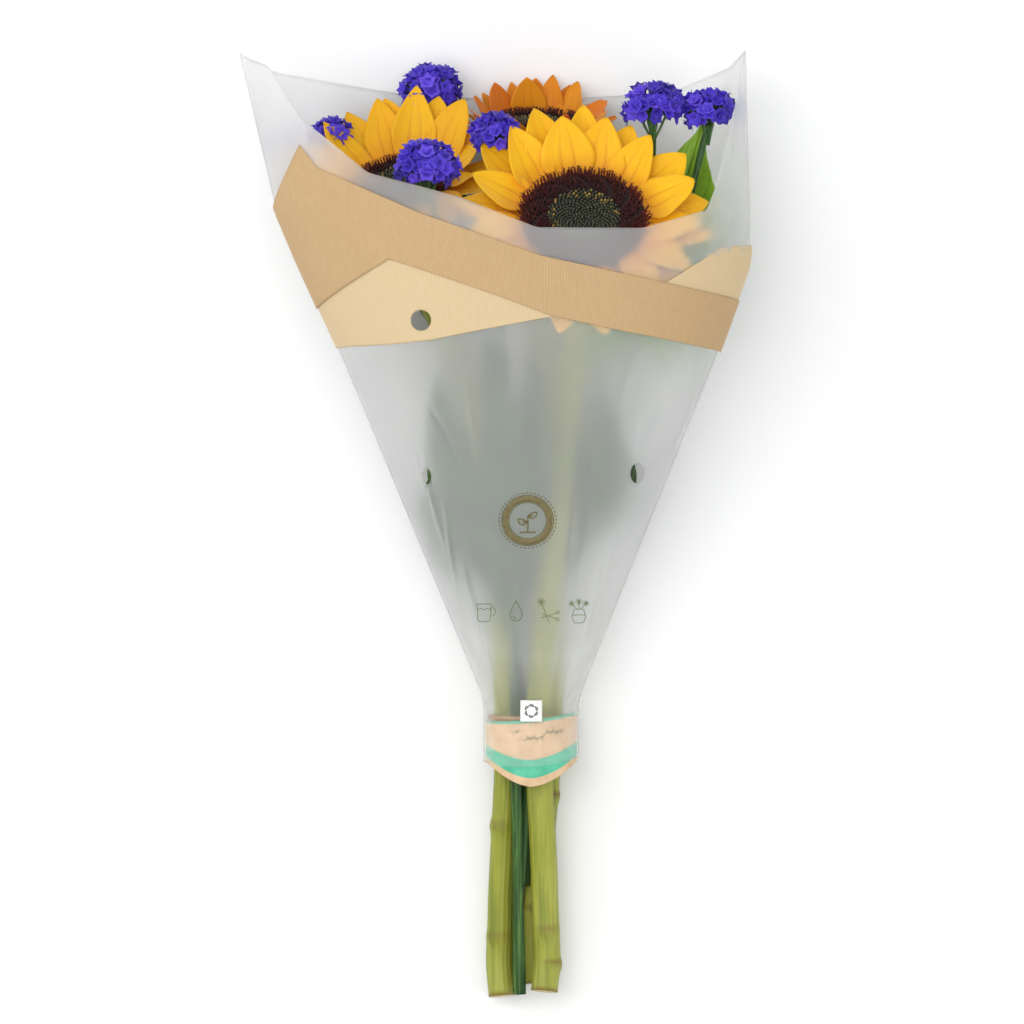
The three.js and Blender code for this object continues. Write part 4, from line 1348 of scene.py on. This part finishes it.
def film_panel(front, edge, rows, columns):
    turn = np.linspace(-1, 1, columns)[None, :]
    u = np.sign(turn) * np.sin(np.abs(turn) * math.pi / 2)
    v = np.linspace(0, 1, rows)[:, None]
    low = (-22 - 3.5 * (1 - np.abs(u) ** 2) + 1.5 * u) * MM
    top = heads_y + eased_edge(edge, u) * R
    y = low + (top - low) * v
    spots = on_sleeve(front, u + 0 * y, y, -0.2 * MM)
    if front:
        lip = np.clip((y - top) / (26 * MM) + 1, 0, 1) ** 2
        ear = np.clip((-u - 0.72) / 0.12, 0, 1) * np.clip((1 + u) / 0.05, 0, 1)
        roll = sleeve_outward(True, u + 0 * y, y) * (6 * MM * lip * ear)[..., None]
        spots = spots + roll + np.array([2.5 * MM, 0, 0]) * (lip * ear)[..., None]
        right = np.clip((u - 0.7) / 0.1, 0, 1) * np.clip((1 - u) / 0.04, 0, 1)
        right = right * np.clip((y - heads_y) / (0.3 * R) + 1.3, 0, 1)
        crumple = np.array([
            noise.fractal(Vector((a[0] * 55, a[1] * 24, 4)), 0.9, 2.0, 3) if r > 0.01 else 0
            for a, r in zip(spots.reshape(-1, 3), right.ravel())
        ]).reshape(u.shape[0] if u.shape[0] > 1 else rows, columns)
        crumple = 1 - 2 * np.abs(crumple)
        spots = spots + sleeve_outward(True, u + 0 * y, y) * (crumple * right * 1.6 * MM)[..., None]
    faces = grid_faces(rows, columns)
    points = spots.reshape(-1, 3)
    if front:
        points, faces = with_vents(points, faces)
    else:
        points[:, 2] = np.maximum(points[:, 2], FILM / 2)
        faces = faces[:, ::-1]
    return points, faces


def film_finish():
    finish = Finish(
        "frosted_film", Roughness=0.42, IOR=1.25, Transmission_Weight=0.78,
        Specular_IOR_Level=0.5,
    )
    cloud = finish.noise(14, 3)
    shade = finish.ramp(cloud, (0.3, (0.95, 0.955, 0.95, 1)), (0.7, (0.985, 0.99, 0.985, 1)))
    finish.feed("Base Color", shade)
    finish.feed("Roughness", finish.noise(30, 2) * 0.12 + 0.36)
    _, along = finish.across_and_along()
    clear, milky = (0.26, 0.26, 0.26, 1), (0.66, 0.66, 0.66, 1)
    finish.feed("Alpha", finish.ramp(along, (0.1, clear), (0.2, milky)))
    crinkle = finish.noise(110, 3, (1, 0.4, 1))
    finish.bump(crinkle, 0.25, 0.0006)
    return finish.material


film_material = film_finish()
for name, edge, shape in (("front", front_edge, (170, 230)), ("back", back_edge, (110, 150))):
    sheet = film_panel(name == "front", edge, *shape)
    panel = sheet_piece(f"film_{name}_panel", *sheet, shape, FILM, film_material)
    settle(panel, "film", f"sleeve_{name}_panel")

# ---- Paper strips ----
# Two strips of ribbed brown paper are glued across the front film and cross each other near the
# left. The upper one has darker paper: painted shade, for the dimmer light through two overlapping
# layers. Fine ribs run from edge to edge.
under_upper = [(-1, -0.2), (-0.59, 0.0), (0.07, -0.26), (0.62, -0.45), (0.86, -0.15), (1, -0.12)]
under_lower = [(-1, -0.93), (-0.73, -0.92), (-0.5, -0.884), (0.12, -0.7), (1, -0.62)]
over_upper = [
    (-1, 0.19), (-0.83, 0.665), (-0.78, 0.48), (-0.65, 0.35), (-0.4, 0.116), (-0.2, -0.03),
    (0.07, -0.22), (0.38, -0.34), (0.81, -0.49), (1, -0.55),
]
over_lower = [(-1, -0.61), (-0.59, -0.246), (0.12, -0.696), (0.47, -0.81), (1, -0.957)]
RIBS = 240  # across the sleeve's width
STRIP_THICKNESS = 0.3 * MM


def paper_finish(name, dark, mid, pale):
    finish = Finish(name, Roughness=0.8, Specular_IOR_Level=0.2)
    across, _ = finish.across_and_along()
    fibre = finish.noise(420, 5, (1, 0.35, 1))
    cloud = finish.noise(26, 4)
    paper = finish.ramp(cloud * 0.3 + fibre * 0.7, (0.3, mid), (0.7, pale))
    # Painted shade in the valleys between the ribs: every other column, where the paper lies lower, is
    # darker.
    ribs = (across * (2 * math.pi * RIBS)).math("COSINE") * 0.5 + 0.5
    finish.feed("Base Color", finish.blend(ribs * 0.5, paper, dark))
    finish.feed("Roughness", fibre * 0.15 + 0.72)
    finish.bump(fibre, 0.3, 0.0002)
    return finish.material


def paper_strip(name, slot, node, upper, lower, outward, material, rows, lean):
    columns = 2 * RIBS + 1
    turn = np.linspace(-1, 1, columns)[None, :]
    v = np.linspace(0, 1, rows)[:, None]
    turn = np.clip(turn + lean * (v - 0.5) * (1 - turn**4), -1, 1)
    u = np.sign(turn) * np.sin(np.abs(turn) * math.pi / 2)
    upper, lower = np.array(upper), np.array(lower)
    low = np.interp(u, lower[:, 0], lower[:, 1])
    high = np.interp(u, upper[:, 0], upper[:, 1])
    y = heads_y + (low + (high - low) * v) * R
    rib = 0.13 * MM * (np.arange(columns) % 2)[None, :]
    spots = on_sleeve(True, u, y, outward + rib)
    sheet = with_vents(spots.reshape(-1, 3), grid_faces(rows, columns))
    settle(sheet_piece(name, *sheet, (rows, columns), STRIP_THICKNESS, material), slot, node)


light_paper = paper_finish(
    "ribbed_paper_light", linear(196, 170, 128), linear(210, 187, 148), linear(215, 193, 155)
)
# The upper strip's darker paper is painted shade, for the dimmer light through two overlapping layers.
paper_with_painted_shade = paper_finish(
    "ribbed_paper_painted_shade", linear(174, 142, 100), linear(190, 159, 118), linear(198, 168, 127)
)
paper_strip("ribbed_strip_under", "strip_paper_light", "paper_strip_under", under_upper, under_lower,
            0.55 * MM, light_paper, 56, 0.05)
paper_strip("ribbed_strip_over", "strip_paper_dark", "paper_strip_over", over_upper, over_lower,
            1.35 * MM, paper_with_painted_shade, 40, 0.0)

# ---- Label ----
# A plain white square sticker on the film just above the tie, with a ring of leaf shapes.


def on_front(x, y, outward):
    """The place on the front film over plan positions x and y, measured from the tie."""
    left, right, _, _ = sleeve_section(y)
    return on_sleeve(True, (x - (left + right) / 2) / ((right - left) / 2), y, outward)


label = Finish("label_white", Roughness=0.4)
label_shade = label.noise(200, 3)
label_white = label.ramp(label_shade, (0.3, linear(228, 228, 224)), (0.7, linear(240, 240, 236)))
label.feed("Base Color", label_white)
label.bump(label_shade, 0.15, 0.0002)
label_middle, label_half = 5.5 * MM, 6.0 * MM
across, along = np.meshgrid(*[np.linspace(-1, 1, 17)] * 2)
grid = on_front(across * label_half, label_middle + along * label_half, 0.4 * MM)
shape = grid.shape[:2]
sticker = sheet_piece("square_sticker", grid, grid_faces(*shape), shape, 0.2 * MM, label.material)
settle(sticker, "label_paper", "square_label")

# ---- Printed marks ----
# Thin ink on the film: a round stamp with a toothed rim and a sprout, and four small drawings on
# the care of cut flowers. The sachet and the label carry plain sprigs and leaves.

INK_THICKNESS = 0.05 * MM


def ribbon(pile, route, width, place, closed=False):
    """A thin raised line of ink along a route of plan points."""
    route = np.array(route, float)
    if closed:
        route = np.concatenate([route, route[:1]])
    gaps = np.hypot(*np.diff(route, axis=0).T)
    steps = max(2, int(gaps.sum() / (0.7 * MM)))
    at = np.linspace(0, gaps.sum(), steps + 1)
    reach = np.concatenate([[0], np.cumsum(gaps)])
    line = np.stack([np.interp(at, reach, route[:, k]) for k in (0, 1)], axis=-1)
    run = np.gradient(line, axis=0)
    run /= np.maximum(np.linalg.norm(run, axis=1, keepdims=True), 1e-9)
    side = np.stack([run[:, 1], -run[:, 0]], axis=-1) * width / 2
    sheet = np.stack([line - side, line + side], axis=1)
    shape = (steps + 1, 2)
    add_sheet(pile, place(sheet[..., 0], sheet[..., 1]), grid_faces(*shape), shape, INK_THICKNESS)


def arc(x, y, reach_x, reach_y, start, end, steps=24):
    turns = np.radians(np.linspace(start, end, steps + 1))
    return [(x + reach_x * math.cos(a), y + reach_y * math.sin(a)) for a in turns]


def in_mm(route, x=0.0, y=0.0, size=1.0):
    return [((x + px * size) * MM, (y + py * size) * MM) for px, py in route]


def ink_finish(name, colour, pale):
    finish = Finish(name, Roughness=0.55)
    shade = finish.noise(600, 3)
    finish.feed("Base Color", finish.ramp(shade, (0.35, colour), (0.7, pale)))
    finish.feed("Roughness", shade * 0.2 + 0.45)
    return finish.material


def on_film(x, y):
    return on_front(x, y, 0.06 * MM)


olive_ink = ink_finish("olive_ink", linear(104, 92, 52), linear(124, 112, 70))
stamp_x, stamp_y = -2.1, 110.8
pile = Pile()
for reach, width in ((10.2, 0.4), (12.2, 3.0), (14.2, 0.5)):
    circle = arc(0, 0, reach, reach * 0.97, 0, 360, 72)[:-1]
    ribbon(pile, in_mm(circle, stamp_x, stamp_y), width * MM, on_film, closed=True)
for k in range(44):
    a = 360 * k / 44
    ribbon(pile, in_mm(arc(0, 0, 15.6, 15.1, a, a + 4.6, 3), stamp_x, stamp_y), 0.45 * MM, on_film)
sprout = [[(0, -6.5), (0.2, -2), (0, 2.2)],
          [(0, 2.2), (2.2, 4.2), (5.2, 4.6), (4.4, 2.0), (2.4, 0.9), (0, 2.2)],
          [(0, -1), (-2.4, 0.6), (-5.4, 0.8), (-4.6, -1.6), (-2.6, -2.5), (0, -1)],
          [(-4.5, -6.5), (4.5, -6.5)], [(0, 2.2), (3.0, 2.9)], [(0, -1), (-3.2, -0.6)]]
for route in sprout:
    ribbon(pile, in_mm(route, stamp_x, stamp_y), 0.75 * MM, on_film)
stamp = pile.piece("round_stamp", olive_ink)
settle(stamp, "film")

green_ink = ink_finish("green_ink", linear(96, 112, 62), linear(120, 134, 86))


def daisy(x, y, reach):
    return [[(x, y), (x + reach * math.cos(a), y + reach * math.sin(a))]
            for a in (2 * math.pi * k / 8 + 0.2 for k in range(8))]


jug = [[(-4, 4.2), (-3.2, -4.6), (-2, -5.6), (2, -5.6), (3.2, -4.6), (4, 4.2), (-4, 4.2)],
       [(-3.7, 1), (-1.8, 1.8), (0, 1), (1.8, 1.8), (3.7, 1)], arc(4.2, 0, 2.0, 2.4, -80, 80, 12)]
drop = [[(0, 6)] + arc(0, -1.5, 3.4, 3.6, 30, -210, 24) + [(0, 6)], arc(0, -1.6, 1.9, 2.1, 200, 270, 8)]
trim = [[(-3.4, 5.2), (0.6, -5.6)], [(-3.6, -3.2), (4.8, -0.4)], [(-3.0, -1.0), (4.4, -3.4)],
        arc(5.6, 0.1, 1.0, 0.8, 0, 360, 12), arc(5.2, -3.9, 1.0, 0.8, 0, 360, 12)] + daisy(-3.6, 5.6, 2.4)
vase = [[(-2.6, 1.6), (-3.8, -2.6), (-2.4, -6), (2.4, -6), (3.8, -2.6), (2.6, 1.6), (-2.6, 1.6)],
        [(0, 1.6), (0, 5)], [(-1, 1.6), (-3.6, 4.4)], [(1, 1.6), (3.6, 4.4)],
        [(-3.5, -1.6), (3.5, -1.6)]] + daisy(0, 5.8, 2.0) + daisy(-4, 4.8, 1.8) + daisy(4, 4.8, 1.8)
pile = Pile()
for x, drawing in ((-26.0, jug), (-8.4, drop), (9.0, trim), (26.0, vase)):
    for route in drawing:
        ribbon(pile, in_mm(route, x, 60.5, 1.0), 0.34 * MM, on_film)
care = pile.piece("care_drawings", green_ink)
settle(care, "film")


def on_label(x, y):
    return on_front(x, y, 0.56 * MM)


dark_ink = ink_finish("dark_ink", linear(46, 52, 46), linear(66, 72, 62))
pile = Pile()
for k in range(6):
    turn = 2 * math.pi * k / 6
    start = (3.3 * math.cos(turn), 3.3 * math.sin(turn))
    outline = [
        (start[0] + reach * math.cos(turn + swing), start[1] + reach * math.sin(turn + swing))
        for reach, swing in ((0, 0), (2.1, 1.1), (3.4, 1.9), (2.1, 1.75), (0, 0))
    ]
    ribbon(pile, in_mm(outline, 0, 5.5, 0.85), 0.5 * MM, on_label)
settle(pile.piece("label_leaf_ring", dark_ink), "label_paper")


def on_sachet(x, y):
    """The place on the sachet's front over plan positions x and y, measured from the tie."""
    spots = sleeve_point(True, x / neck_half_width, 0 * y)
    spots[..., 1] = tie[1] + y
    return spots - sleeve_outward(True, x / neck_half_width, 0 * y) * (0.95 * MM)


sprig = [[(-7, -1.2), (-3, 0.6), (1, 0.2), (6, 1.8)], [(-4, 0.3), (-5.4, 2.0)], [(-1, 0.4), (-0.2, 2.2)],
         [(2, 0.5), (1.4, -1.4)], [(-3, 0.5), (-2.2, -1.2)], [(4, 1.1), (5.2, -0.2)]]
pile = Pile()
for x, y in ((-12, -7), (2, -10), (13, -6.5)):
    for route in sprig:
        ribbon(pile, in_mm(route, x, y, 0.9), 0.4 * MM, on_sachet)
settle(pile.piece("sachet_sprigs", green_ink), "sachet_paper")
